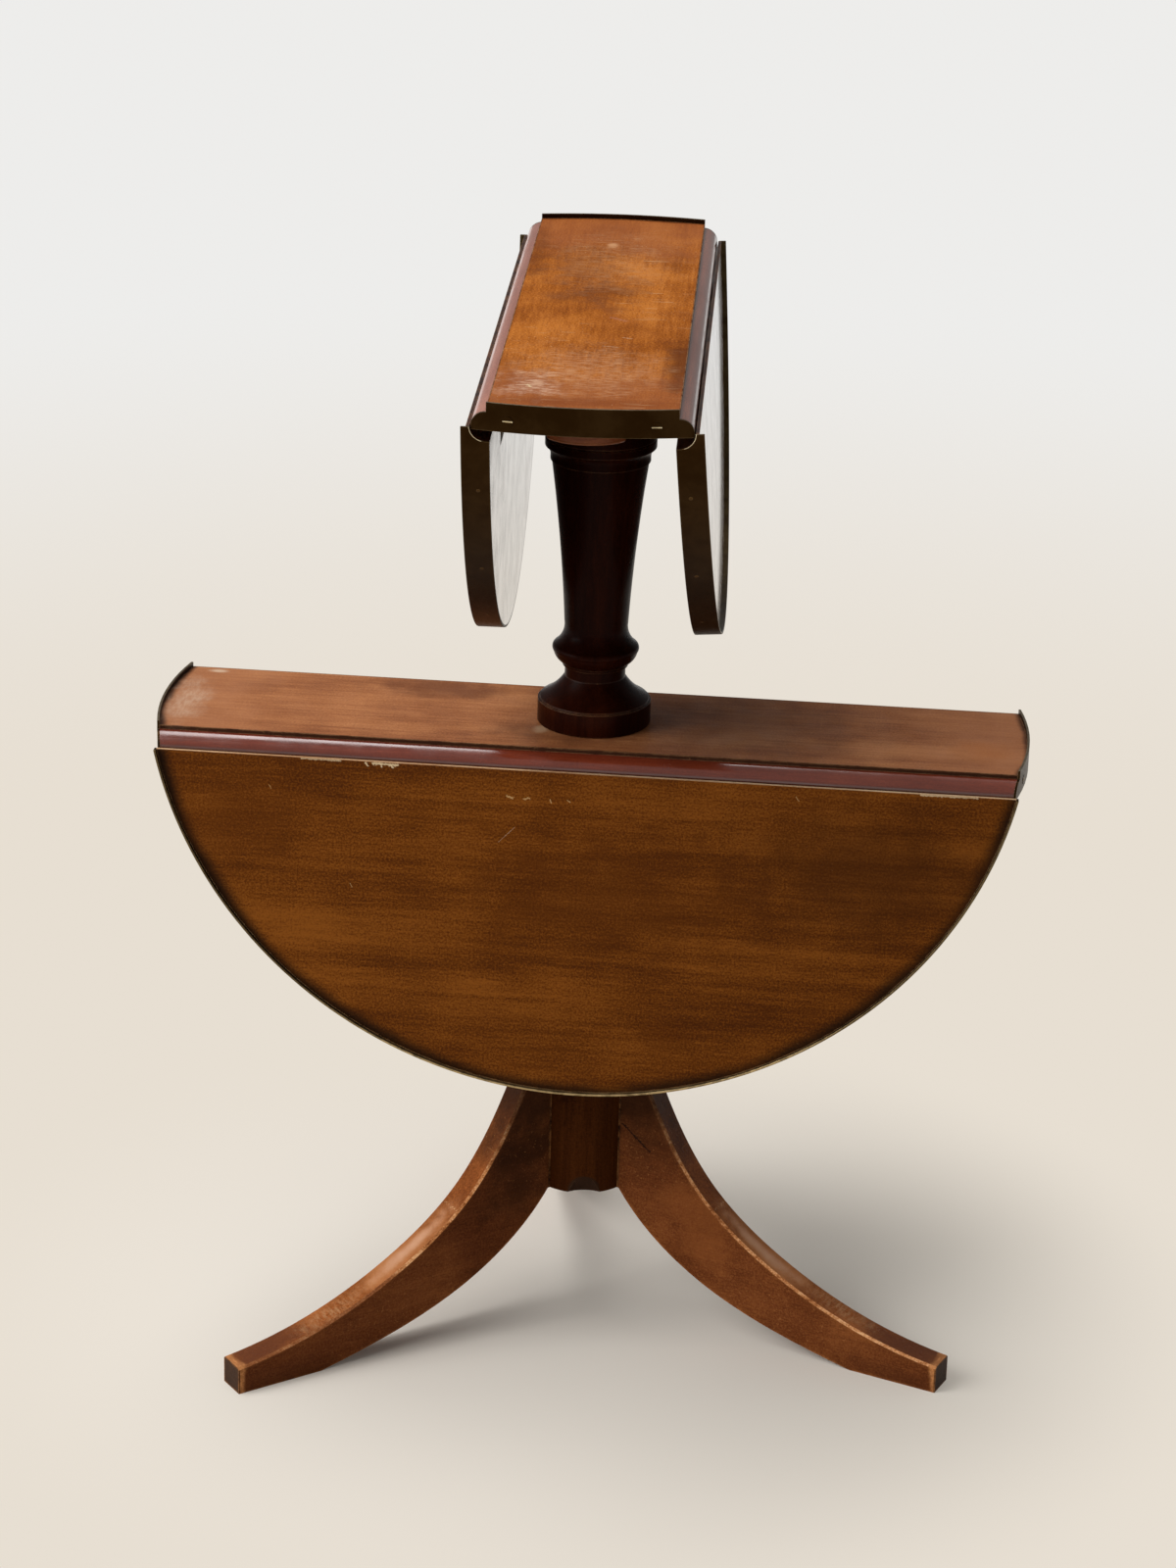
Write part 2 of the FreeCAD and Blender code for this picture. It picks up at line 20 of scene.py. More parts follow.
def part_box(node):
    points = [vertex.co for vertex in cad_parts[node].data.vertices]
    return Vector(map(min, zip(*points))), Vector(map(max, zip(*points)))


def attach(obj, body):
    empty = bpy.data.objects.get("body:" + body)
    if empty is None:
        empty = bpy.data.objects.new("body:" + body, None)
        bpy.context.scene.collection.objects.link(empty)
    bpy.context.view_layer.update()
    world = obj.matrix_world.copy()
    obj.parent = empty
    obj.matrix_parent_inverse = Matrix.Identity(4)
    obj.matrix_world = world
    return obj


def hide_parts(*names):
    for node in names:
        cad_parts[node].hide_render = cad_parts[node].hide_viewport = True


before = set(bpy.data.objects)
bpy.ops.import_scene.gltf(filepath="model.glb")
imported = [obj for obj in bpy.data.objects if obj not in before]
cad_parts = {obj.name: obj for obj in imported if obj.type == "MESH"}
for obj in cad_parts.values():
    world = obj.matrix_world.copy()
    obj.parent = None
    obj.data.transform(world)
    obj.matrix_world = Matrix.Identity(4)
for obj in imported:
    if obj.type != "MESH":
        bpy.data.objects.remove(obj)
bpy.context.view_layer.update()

WELD = 1e-6
DRAWN_SPACE = "drawn_space"
SHARP_ANGLE = math.radians(32)
FLAT_ANGLE = math.radians(0.4)
CREASE_ANGLE = math.radians(50)
ROUND_PROFILE = 0.5
FACING = 0.9
NOT_DOWN = -0.5

Colour = tuple[float, float, float]
Point = tuple[float, float]
Spot = tuple[float, float, float]
Box = tuple[Vector, Vector]
Socket = bpy.types.NodeSocket
Material = bpy.types.Material
Piece = bpy.types.Object
Mesh = bmesh.types.BMesh
log = logging.getLogger("table")


class Slot(Enum):
    """Material slots of the record, named for the finer pieces but not set on them here."""

    BOARD = "board_mahogany"
    LEAF = "leaf_mahogany"
    COLUMN = "column_mahogany"
    LEG = "leg_mahogany"
    BEARER = "bearer_mahogany"
    BAND = "band_brass"
    FIXING = "fixing_brass"


class Grain(Enum):
    """The axis of a piece that its grain follows, as stretches of the texture space."""

    ALONG = (0.06, 1.0, 1.0)
    UPRIGHT = (1.0, 1.0, 0.06)


class Zone(IntEnum):
    """Parts of a piece's surface after its plain faces, in the order of its finishes."""

    EDGE = 1
    SHAPED = 2


class Mark(NamedTuple):
    """A scratch, crack or chip: a short line in the space that its piece was drawn in."""

    start: Spot
    end: Spot
    width: float
    colour: Colour
    share: float = 0.8


class Patch(NamedTuple):
    """A soft-edged darker or paler place, in the space that its piece was drawn in."""

    centre: Spot
    reach: Spot
    colour: Colour
    share: float = 0.5
    core: float = 0.2
    ragged: float = 0.25
    broken: float = 0.0


class Texture(NamedTuple):
    """Noise: features to the metre, octaves, their strength, distortion, and where its smooth step lies."""

    scale: float
    detail: float = 4.0
    rough: float = 0.55
    warp: float = 0.0
    low: float = 0.0
    high: float = 1.0


# Textures


STREAKS = Texture(330.0, 6.0, 0.68, 0.4)
FIGURE = Texture(30.0, 3.0, 0.5, 1.0)
FLECKS = Texture(650.0, 3.0, 0.7)
CLOUDS = Texture(14.0)
PORES = Texture(1700.0, 2.0, 0.5, low=0.55, high=0.68)
SMEARS = Texture(38.0, 4.0, 0.6, low=0.3, high=0.75)
WAVES = Texture(30.0, 2.0, 0.5)
RAGGED_END = Texture(18.0, low=0.2, high=0.8)
RAGGED_RIM = Texture(16.0, low=0.2, high=0.8)
RAGGED_LINE = Texture(700.0, 3.0, low=0.35, high=0.65)
RAGGED_PATCH = Texture(45.0, 5.0, 0.62, low=0.25, high=0.75)
BROKEN_PATCH = Texture(420.0, 4.0, 0.7, low=0.40, high=0.62)
USED_PLACES = Texture(9.0, 3.0, low=0.45, high=0.6)
DOTS = Texture(560.0, 2.0, 0.5, low=0.66, high=0.74)
RUBBED_PLACES = Texture(110.0, 6.0, 0.7, low=0.36, high=0.60)
PATINA = Texture(45.0, 5.0, 0.6, 0.3, low=0.35, high=0.7)
FINE_PATINA = Texture(900.0, 3.0, 0.6, low=0.25, high=0.8)
TOUCHED_PLACES = Texture(170.0, 4.0, 0.6, low=0.30, high=0.60)
FLOOR_DRIFT = Texture(1.2, 3.0, 0.5)
SCRATCH_RUNS = ((0.5, Texture(420.0, 1.0, 0.5)), (-0.7, Texture(380.0, 1.0, 0.5)))
SCRATCH_STEP = (0.705, 0.735)
SCRATCH_STRETCH = (1.0, 0.07, 1.0)
BROKEN_STRETCH = (1.0, 0.25, 1.0)
LINE_WIDENING = (0.5, 1.8)
EDGE_SAMPLES = 6
EDGE_LIKENESS = (0.995, 0.86)
MIX_UNDER, MIX_OVER, MIX_RESULT = 6, 7, 2


# Node trees


class Recipe:
    """A material being made: a Principled shader and the nodes that feed it."""

    def __init__(self, name: str, drawn: bool = True) -> None:
        """Starts a material.

        Args:
            name: The material's name.
            drawn: Whether its pieces keep the space that they were drawn in, or use the frame's space.
        """
        self.material = bpy.data.materials.new(name)
        self.material.use_nodes = True
        self.tree = self.material.node_tree
        self.shader = self.tree.nodes["Principled BSDF"]
        if drawn:
            self.place = self.node("ShaderNodeAttribute", attribute_name=DRAWN_SPACE).outputs["Vector"]
        else:
            self.place = self.node("ShaderNodeTexCoord").outputs["Object"]

    def node(self, kind: str, **settings: object) -> bpy.types.Node:
        """Adds a node.

        Args:
            kind: The node's type.
            settings: Properties of the node to set.

        Returns:
            The node.
        """
        node = self.tree.nodes.new(kind)
        for name, value in settings.items():
            setattr(node, name, value)
        return node

    def feed(self, socket: Socket, value: object) -> None:
        """Gives a socket another node's output, or a plain value.

        Args:
            socket: The input to feed.
            value: An output socket, a number, a vector or a colour.
        """
        if isinstance(value, Socket):
            self.tree.links.new(value, socket)
        elif isinstance(value, tuple) and len(value) == 3 and socket.type == "RGBA":
            socket.default_value = (*value, 1.0)
        else:
            socket.default_value = value

    def surface(self, inputs: dict[str, object]) -> None:
        """Feeds the shader's inputs by their names."""
        for name, value in inputs.items():
            self.feed(self.shader.inputs[name], value)

    def stretched(self, stretch: Sequence[float], turn: float = 0.0) -> Socket:
        """Texture space scaled along each axis.

        Args:
            stretch: Scale along X, Y and Z.
            turn: Turn about Z, in radians.

        Returns:
            The stretched coordinates.
        """
        mapping = self.node("ShaderNodeMapping")
        self.feed(mapping.inputs["Vector"], self.place)
        mapping.inputs["Rotation"].default_value = (0.0, 0.0, turn)
        mapping.inputs["Scale"].default_value = tuple(stretch)
        return mapping.outputs["Vector"]

    def noise(self, space: Socket, texture: Texture) -> Socket:
        """Noise from 0 to 1.

        Args:
            space: The coordinates to read.
            texture: The kind of noise.

        Returns:
            The noise's value.
        """
        node = self.node("ShaderNodeTexNoise")
        self.feed(node.inputs["Vector"], space)
        for name, value in zip(("Scale", "Detail", "Roughness", "Distortion"), texture):
            node.inputs[name].default_value = value
        return node.outputs["Fac"]

    def stepped(self, space: Socket, texture: Texture, start: float = 0.0, end: float = 1.0) -> Socket:
        """Noise sharpened by its texture's smooth step.

        Args:
            space: The coordinates to read.
            texture: The kind of noise.
            start: The result below the step.
            end: The result above it.

        Returns:
            The sharpened value.
        """
        return self.fade(self.noise(space, texture), texture.low, texture.high, start, end)

    def fade(self, value: Socket, low: float, high: float, start: float = 0.0, end: float = 1.0) -> Socket:
        """Smooth step of a value.

        Args:
            value: The value to map.
            low: Where the step begins.
            high: Where it ends.
            start: The result at low.
            end: The result at high.

        Returns:
            The mapped value.
        """
        node = self.node("ShaderNodeMapRange", interpolation_type="SMOOTHSTEP")
        for name, given in (("Value", value), ("From Min", low), ("From Max", high), ("To Min", start),
                            ("To Max", end)):
            self.feed(node.inputs[name], given)
        return node.outputs["Result"]

    def sum(self, how: str, first: object, second: object) -> Socket:
        """Joins two numbers.

        Args:
            how: The operation, such as MULTIPLY.
            first: A number or an output.
            second: A number or an output.

        Returns:
            The result.
        """
        node = self.node("ShaderNodeMath", operation=how)
        self.feed(node.inputs[0], first)
        self.feed(node.inputs[1], second)
        return node.outputs["Value"]

    def weighed(self, *layers: tuple[Socket, float]) -> Socket:
        """Sum of layers, each times its weight.

        Args:
            layers: Outputs with their weights.

        Returns:
            The sum.
        """
        total, *others = (self.sum("MULTIPLY", layer, weight) for layer, weight in layers)
        for other in others:
            total = self.sum("ADD", total, other)
        return total

    def blend(self, share: object, under: object, over: object) -> Socket:
        """Lays one colour over another.

        Args:
            share: How much of the upper colour shows.
            under: The lower colour.
            over: The upper colour.

        Returns:
            The blended colour.
        """
        node = self.node("ShaderNodeMix", data_type="RGBA")
        self.feed(node.inputs["Factor"], share)
        self.feed(node.inputs[MIX_UNDER], under)
        self.feed(node.inputs[MIX_OVER], over)
        return node.outputs[MIX_RESULT]

    def ramp(self, value: Socket, stops: Sequence[tuple[float, Colour]]) -> Socket:
        """Colours laid out along a value.

        Args:
            value: The value from 0 to 1.
            stops: Places and colours, in order.

        Returns:
            The colour.
        """
        node = self.node("ShaderNodeValToRGB")
        elements = node.color_ramp.elements
        while len(elements) < len(stops):
            elements.new(1.0)
        for element, (place, colour) in zip(elements, stops):
            element.position = place
            element.color = (*colour, 1.0)
        self.feed(node.inputs["Fac"], value)
        return node.outputs["Color"]

    def edge(self, reach: float) -> Socket:
        """How near a surface is to a sharp edge of its piece.

        Args:
            reach: Distance from the edge at which it fades out.

        Returns:
            0 on the flat, rising towards the edge.
        """
        rounded = self.node("ShaderNodeBevel", samples=EDGE_SAMPLES)
        rounded.inputs["Radius"].default_value = reach
        flat = self.node("ShaderNodeNewGeometry").outputs["Normal"]
        likeness = self.node("ShaderNodeVectorMath", operation="DOT_PRODUCT")
        self.feed(likeness.inputs[0], rounded.outputs["Normal"])
        self.feed(likeness.inputs[1], flat)
        return self.fade(likeness.outputs["Value"], *EDGE_LIKENESS)

    def vector(self, how: str, first: object, second: object = (0.0, 0.0, 0.0)) -> bpy.types.Node:
        """Joins two vectors.

        Args:
            how: The operation, such as SUBTRACT.
            first: A vector or an output.
            second: A vector or an output.

        Returns:
            The node, with its Vector and its Value.
        """
        node = self.node("ShaderNodeVectorMath", operation=how)
        self.feed(node.inputs[0], first)
        self.feed(node.inputs[1], second)
        return node

    def from_axis(self) -> Socket:
        """Distance from the Z axis."""
        level = self.vector("MULTIPLY", self.place, (1.0, 1.0, 0.0))
        return self.vector("LENGTH", level.outputs["Vector"]).outputs["Value"]

    def marked(self, mark: Mark) -> Socket:
        """How strongly a mark shows.

        Args:
            mark: The scratch, crack or chip.

        Returns:
            Its share at each place.
        """
        way = Vector(mark.end) - Vector(mark.start)
        offset = self.vector("SUBTRACT", self.place, mark.start).outputs["Vector"]
        reached = self.node("ShaderNodeClamp")
        along = self.vector("DOT_PRODUCT", offset, tuple(way / way.length_squared))
        self.feed(reached.inputs["Value"], along.outputs["Value"])
        line = self.node("ShaderNodeVectorMath", operation="SCALE")
        line.inputs[0].default_value = way
        self.feed(line.inputs["Scale"], reached.outputs["Result"])
        away = self.vector("DISTANCE", offset, line.outputs["Vector"]).outputs["Value"]
        uneven = self.sum("MULTIPLY", away, self.stepped(self.place, RAGGED_LINE, *LINE_WIDENING))
        return self.fade(uneven, mark.width / 4, mark.width / 2, mark.share, 0.0)

    def patched(self, patch: Patch) -> Socket:
        """How strongly a patch shows.

        Args:
            patch: The darker or paler place.

        Returns:
            Its share at each place.
        """
        offset = self.vector("SUBTRACT", self.place, patch.centre).outputs["Vector"]
        scaled = self.vector("DIVIDE", offset, patch.reach).outputs["Vector"]
        uneven = self.stepped(self.place, RAGGED_PATCH, -patch.ragged, patch.ragged)
        away = self.sum("ADD", self.vector("LENGTH", scaled).outputs["Value"], uneven)
        share = self.fade(away, patch.core, 1.0, patch.share, 0.0)
        if patch.broken:
            fine = self.stepped(self.stretched(BROKEN_STRETCH), BROKEN_PATCH, 1 - patch.broken)
            share = self.sum("MULTIPLY", share, fine)
        return share

    def aged(self, colour: Socket, patches: Sequence[Patch], marks: Sequence[Mark]) -> Socket:
        """Lays patches and then marks over a colour.

        Args:
            colour: The colour so far.
            patches: Darker and paler places.
            marks: Scratches, cracks and chips.

        Returns:
            The colour with all of them.
        """
        for patch in patches:
            colour = self.blend(self.patched(patch), colour, patch.colour)
        for mark in marks:
            colour = self.blend(self.marked(mark), colour, mark.colour)
        return colour

    def along(self, axis: str) -> Socket:
        """One coordinate of the piece.

        Args:
            axis: X, Y or Z.

        Returns:
            The coordinate.
        """
        parts = self.node("ShaderNodeSeparateXYZ")
        self.feed(parts.inputs["Vector"], self.place)
        return parts.outputs[axis]

    def relief(self, *layers: tuple[Socket, float]) -> None:
        """Bump from layers of height, each with its depth in metres.

        Args:
            layers: Height outputs with their depths.
        """
        below = None
        for height, depth in layers:
            bump = self.node("ShaderNodeBump")
            bump.inputs["Strength"].default_value = 1.0
            bump.inputs["Distance"].default_value = depth
            self.feed(bump.inputs["Height"], height)
            if below is not None:
                self.feed(bump.inputs["Normal"], below)
            below = bump.outputs["Normal"]
        self.feed(self.shader.inputs["Normal"], below)


# Finishes


@dataclass(frozen=True)
class Mahogany:
    """Old polished mahogany: figure, pores, blotches, specks, scratches, darkened and rubbed places."""

    name: str
    dark: Colour
    middle: Colour
    light: Colour
    grain: Grain = Grain.ALONG
    streaks: float = 0.25
    figure: float = 0.35
    flecks: float = 0.12
    spread: float = 0.10
    pores: float = 0.3
    roughness: float = 0.36
    sheen: float = 0.1
    coat: float = 0.0
    coat_roughness: float = 0.12
    smoother: float = 0.05
    rougher: float = 0.10
    scuffed: float = 0.2
    wave: float = 0.00006
    grain_depth: float = 0.00003
    pore_depth_share: float = 0.7
    edge_wear: float = 0.5
    edge_reach: float = 0.0016
    worn: Colour = (0.42, 0.22, 0.10)
    specks: float = 0.15
    scratches: float = 0.2
    rim: float = 0.0
    rim_width: float = 0.012
    rim_ragged: float = 0.003
    rim_share: float = 0.9
    rim_colour: Colour = (0.012, 0.005, 0.002)
    end_from: float = 0.0
    end_fade: float = 0.09
    end_ragged: float = 0.04
    end_colour: Colour = (0.25, 0.07, 0.02)
    end_share: float = 0.0
    joint_at: float = 0.0
    joint_width: Point = (0.0003, 0.0011)
    joint_share: float = 0.95
    patches: tuple[Patch, ...] = ()
    marks: tuple[Mark, ...] = ()

    def material(self) -> Material:
        """Makes the finish.

        Returns:
            The material.
        """
        made = Recipe(self.name)
        fibre = made.stretched(self.grain.value)
        streaks = made.noise(fibre, STREAKS)
        tone = made.weighed(
            (streaks, self.streaks), (made.noise(fibre, FIGURE), self.figure),
            (made.noise(made.place, FLECKS), self.flecks),
            (made.noise(made.place, CLOUDS), 1 - self.streaks - self.figure - self.flecks),
        )
        places = (0.5 - self.spread, 0.5, 0.5 + self.spread)
        colour = made.ramp(tone, tuple(zip(places, (self.dark, self.middle, self.light))))
        if self.end_share:
            colour = self.tinted_ends(made, colour)
        pores = made.stepped(fibre, PORES)
        colour = made.blend(made.sum("MULTIPLY", pores, self.pores), colour, self.dark)
        if self.rim:
            colour = self.dark_rim(made, colour)
        if self.joint_at:
            colour = self.dirt_and_shade_line(made, colour)
        colour, scuff = self.worn_over(made, made.aged(colour, self.patches, self.marks))
        smears = made.stepped(made.place, SMEARS, self.roughness - self.smoother,
                              self.roughness + self.rougher)
        scuffs = made.sum("MULTIPLY", scuff, self.scuffed)
        made.surface({
            "Base Color": colour, "Roughness": made.sum("ADD", smears, scuffs),
            "Specular IOR Level": self.sheen, "Coat Weight": self.coat, "Coat Roughness": self.coat_roughness,
        })
        made.relief((made.noise(made.place, WAVES), self.wave), (streaks, self.grain_depth),
                    (pores, self.pore_depth_share * self.grain_depth))
        return made.material

    def tinted_ends(self, made: Recipe, colour: Socket) -> Socket:
        """Another tone towards both ends of the grain.

        Args:
            made: The material being made.
            colour: The colour so far.

        Returns:
            The tinted colour.
        """
        away = made.sum("ABSOLUTE", made.along("X"), 0.0)
        ragged = made.stepped(made.place, RAGGED_END, -self.end_ragged, self.end_ragged)
        share = made.fade(made.sum("ADD", away, ragged), self.end_from, self.end_from + self.end_fade, 0.0,
                          self.end_share)
        return made.blend(share, colour, self.end_colour)

    def dark_rim(self, made: Recipe, colour: Socket) -> Socket:
        """Polish and dirt built up along the round rim.

        Args:
            made: The material being made.
            colour: The colour so far.

        Returns:
            The colour with its dark border.
        """
        ragged = made.stepped(made.place, RAGGED_RIM, -self.rim_ragged, self.rim_ragged)
        out = made.sum("ADD", made.from_axis(), ragged)
        share = made.fade(out, self.rim - self.rim_width, self.rim, 0.0, self.rim_share)
        return made.blend(share, colour, self.rim_colour)

    def dirt_and_shade_line(self, made: Recipe, colour: Socket) -> Socket:
        """A dark line at a set distance out from the middle: dirt in the step beside the moulding, and painted
        shade at the foot of the moulding.

        Args:
            made: The material being made.
            colour: The colour so far.

        Returns:
            The colour with a dark line on each side.
        """
        out = made.sum("ABSOLUTE", made.along("Y"), 0.0)
        away = made.sum("ABSOLUTE", made.sum("SUBTRACT", out, self.joint_at), 0.0)
        return made.blend(made.fade(away, *self.joint_width, self.joint_share, 0.0), colour, self.rim_colour)

    def worn_over(self, made: Recipe, colour: Socket) -> tuple[Socket, Socket]:
        """Pale specks, fine scratches and rubbed edges.

        Args:
            made: The material being made.
            colour: The colour so far.

        Returns:
            The worn colour, and how scuffed each place is.
        """
        dots = made.stepped(made.place, DOTS, 0.0, self.specks)
        runs = [made.noise(made.stretched(SCRATCH_STRETCH, turn), texture) for turn, texture in SCRATCH_RUNS]
        scratches = made.fade(made.sum("MAXIMUM", *runs), *SCRATCH_STEP, 0.0, self.scratches)
        here = made.stepped(made.place, USED_PLACES)
        marks = made.sum("MULTIPLY", made.sum("MAXIMUM", dots, scratches), here)
        colour = made.blend(marks, colour, self.worn)
        broken = made.sum("MULTIPLY", made.edge(self.edge_reach), made.stepped(made.place, RUBBED_PLACES))
        rubbed = made.sum("MULTIPLY", broken, self.edge_wear)
        return made.blend(rubbed, colour, self.worn), made.sum("MAXIMUM", marks, rubbed)


@dataclass(frozen=True)
class Metal:
    """Old metal with a soft patina, polished by touch in places, and where asked brighter near the middle of
    its length, a painted highlight.
    """

    name: str
    patina: Colour
    stain: Colour
    bright: Colour
    roughness: float = 0.42
    smoother: float = 0.06
    rougher: float = 0.10
    edge_wear: float = 0.3
    edge_reach: float = 0.0009
    least_touched: float = 0.35
    polished: float = 0.0
    painted_highlight_within: float = 0.0
    painted_highlight_fade: float = 1.7
    painted_highlight_beyond: float = 0.25
    dents: Point = (0.00003, 0.00001)
    drawn: bool = True
    patches: tuple[Patch, ...] = ()

    def material(self) -> Material:
        """Makes the finish.

        Returns:
            The material.
        """
        made = Recipe(self.name, self.drawn)
        cloud, fine = made.noise(made.place, PATINA), made.noise(made.place, FINE_PATINA)
        colour = made.blend(made.fade(cloud, PATINA.low, PATINA.high), self.patina, self.stain)
        broken = made.stepped(made.place, TOUCHED_PLACES, self.least_touched)
        worn = made.sum("MULTIPLY", made.edge(self.edge_reach), broken)
        rubbed = made.sum("MULTIPLY", worn, self.edge_wear)
        if self.polished:
            touched = made.sum("MULTIPLY", broken, self.polished)
            # Painted highlight: the polish is strongest near the middle of the length and fades towards the
            # ends.
            if self.painted_highlight_within:
                away = made.sum("ABSOLUTE", made.along("X"), 0.0)
                near = made.fade(away, self.painted_highlight_within, self.painted_highlight_fade * self.painted_highlight_within, 1.0,
                                 self.painted_highlight_beyond)
                touched = made.sum("MULTIPLY", touched, near)
            rubbed = made.sum("MAXIMUM", rubbed, touched)
        colour = made.aged(made.blend(rubbed, colour, self.bright), self.patches, ())
        rough = made.fade(fine, FINE_PATINA.low, FINE_PATINA.high, self.roughness - self.smoother,
                          self.roughness + self.rougher)
        made.surface({"Base Color": colour, "Metallic": 1.0, "Roughness": rough})
        made.relief(*zip((cloud, fine), self.dents))
        return made.material


@dataclass(frozen=True)
class PlainFloor:
    """Pale matt floor, which fades into an even pale background away from the table."""

    colour: Colour = (0.82, 0.765, 0.685)
    around: Colour = (0.80, 0.735, 0.645)
    background: Colour = (0.85, 0.845, 0.83)
    darker_share: float = 0.96
    roughness: float = 0.9
    sheen: float = 0.1
    fade_from: float = 0.16
    fade_to: float = 0.50
    wall_from: float = 1.0
    wall_to: float = 3.0

    def material(self) -> Material:
        """Makes the finish.

        Returns:
            The material.
        """
        made = Recipe("floor_pale", drawn=False)
        drift = made.noise(made.place, FLOOR_DRIFT)
        darker = tuple(self.darker_share * part for part in self.colour)
        away = made.fade(made.from_axis(), self.fade_from, self.fade_to)
        colour = made.blend(drift, self.colour, darker)
        made.surface({"Base Color": colour, "Roughness": self.roughness, "Specular IOR Level": self.sheen})
        path = made.node("ShaderNodeLightPath")
        seen = made.sum("MAXIMUM", path.outputs["Is Camera Ray"], path.outputs["Is Glossy Ray"])
        glow = made.node("ShaderNodeEmission")
        beyond = made.fade(made.from_axis(), self.wall_from, self.wall_to)
        made.feed(glow.inputs["Color"], made.blend(beyond, self.around, self.background))
        mixed = made.node("ShaderNodeMixShader")
        made.feed(mixed.inputs["Fac"], made.sum("MULTIPLY", away, seen))
        made.feed(mixed.inputs[1], made.shader.outputs["BSDF"])
        made.feed(mixed.inputs[2], glow.outputs["Emission"])
        made.feed(made.tree.nodes["Material Output"].inputs["Surface"], mixed.outputs["Shader"])
        return made.material


# Meshes


class Cut(NamedTuple):
    """A line across a board's or a leaf's section: how far out it lies and the heights that it joins."""

    out: float
    low: float
    high: float
    on_rim: bool = False


Place = Callable[[Cut, float], Vector]


def add_face(mesh: Mesh, corners: Sequence[Vector]) -> None:
    """Adds a face with its own corners, which are welded later."""
    mesh.faces.new([mesh.verts.new(corner) for corner in corners])


def heights_at(cuts: Sequence[Cut], cut: Cut) -> list[float]:
    """Every height at which the outline has a corner on one line of the section.

    Args:
        cuts: The section.
        cut: The line.

    Returns:
        The heights from low to high.
    """
    found = {z for twin in cuts if twin.out == cut.out for z in (twin.low, twin.high)}
    return sorted(z for z in found if cut.low <= z <= cut.high)


def wall_between(mesh: Mesh, cuts: Sequence[Cut], near: Place, far: Place,
                 last: bool = True) -> None:
    """Closed shape between two copies of a section.

    Args:
        mesh: The mesh to add to.
        cuts: The section.
        near: Where a point of the section lies on one copy.
        far: Where it lies on the other.
        last: Whether the shape is closed behind the last cut.
    """
    for first, second in zip(cuts, cuts[1:]):
        for a, b in ((first.low, second.low), (first.high, second.high)):
            if first.out != second.out or a != b:
                add_face(mesh, (near(first, a), near(second, b), far(second, b), far(first, a)))
        if first.out != second.out:
            for place in (near, far):
                rising = [place(first, z) for z in heights_at(cuts, first)]
                falling = [place(second, z) for z in reversed(heights_at(cuts, second))]
                add_face(mesh, rising + falling)
    for cut in (cuts[0], cuts[-1]) if last else cuts[:1]:
        add_face(mesh, (near(cut, cut.low), near(cut, cut.high), far(cut, cut.high), far(cut, cut.low)))


def turned_mesh(profile: Sequence[Point], segments: int) -> Mesh:
    """Round shape about the Z axis.

    Args:
        profile: Radii and heights from the foot up.
        segments: Sides of the round.

    Returns:
        The mesh, closed at both ends.
    """
    mesh = bmesh.new()
    turns = [2 * math.pi * side / segments for side in range(segments)]
    rings = [[mesh.verts.new((r * math.cos(a), r * math.sin(a), z)) for a in turns] for r, z in profile]
    for ring, following in zip(rings, rings[1:]):
        for side in range(segments):
            after = (side + 1) % segments
            mesh.faces.new((ring[side], ring[after], following[after], following[side]))
    mesh.faces.new(rings[0][::-1])
    mesh.faces.new(rings[-1])
    return mesh


def arc_through(start: Point, middle: Point, end: Point, steps: int) -> list[Point]:
    """Points on the circle through three points.

    Args:
        start: The first point, which is left out of the result.
        middle: A point between.
        end: The last point.
        steps: How many points.

    Returns:
        The points after the start, up to the end.
    """
    a, b, c = (complex(*point) for point in (start, middle, end))
    turn = (c - a) / (b - a)
    centre = (b - a) * (turn - abs(turn) ** 2) / (2j * turn.imag) + a
    first, last = (math.atan2((p - centre).imag, (p - centre).real) for p in (a, c))
    sweep = (last - first + math.pi) % (2 * math.pi) - math.pi
    radius = abs(a - centre)
    angles = [first + sweep * step / steps for step in range(1, steps + 1)]
    return [(centre.real + radius * math.cos(t), centre.imag + radius * math.sin(t)) for t in angles]


def soften(mesh: Mesh, width: float, segments: int = 2) -> None:
    """Rounds a mesh's sharp edges.

    Args:
        mesh: The mesh.
        width: How far the rounding reaches from the edge.
        segments: Faces across the rounding.
    """
    bmesh.ops.remove_doubles(mesh, verts=mesh.verts, dist=WELD)
    bmesh.ops.recalc_face_normals(mesh, faces=mesh.faces)
    sharp = [e for e in mesh.edges if e.is_manifold and e.calc_face_angle(0.0) > SHARP_ANGLE]
    bmesh.ops.bevel(mesh, geom=sharp, offset=width, offset_type="OFFSET", segments=segments,
                    profile=ROUND_PROFILE, affect="EDGES", clamp_overlap=True, material=Zone.EDGE)


def linked(name: str, mesh: Mesh, place: Matrix) -> Piece:
    """Puts a mesh into the scene as a named piece.

    Args:
        name: The piece's name.
        mesh: Its mesh, which is freed.
        place: Where it stands.

    Returns:
        The object.
    """
    data = bpy.data.meshes.new(name)
    mesh.to_mesh(data)
    mesh.free()
    data.shade_smooth()
    piece = bpy.data.objects.new(name, data)
    bpy.context.scene.collection.objects.link(piece)
    piece.matrix_world = place
    return piece


def weighted(piece: Piece) -> None:
    """Keeps flat faces looking flat beside their rounded edges."""
    piece.data.set_sharp_from_angle(angle=CREASE_ANGLE)
    piece.modifiers.new("weighted_normals", "WEIGHTED_NORMAL").keep_sharp = True


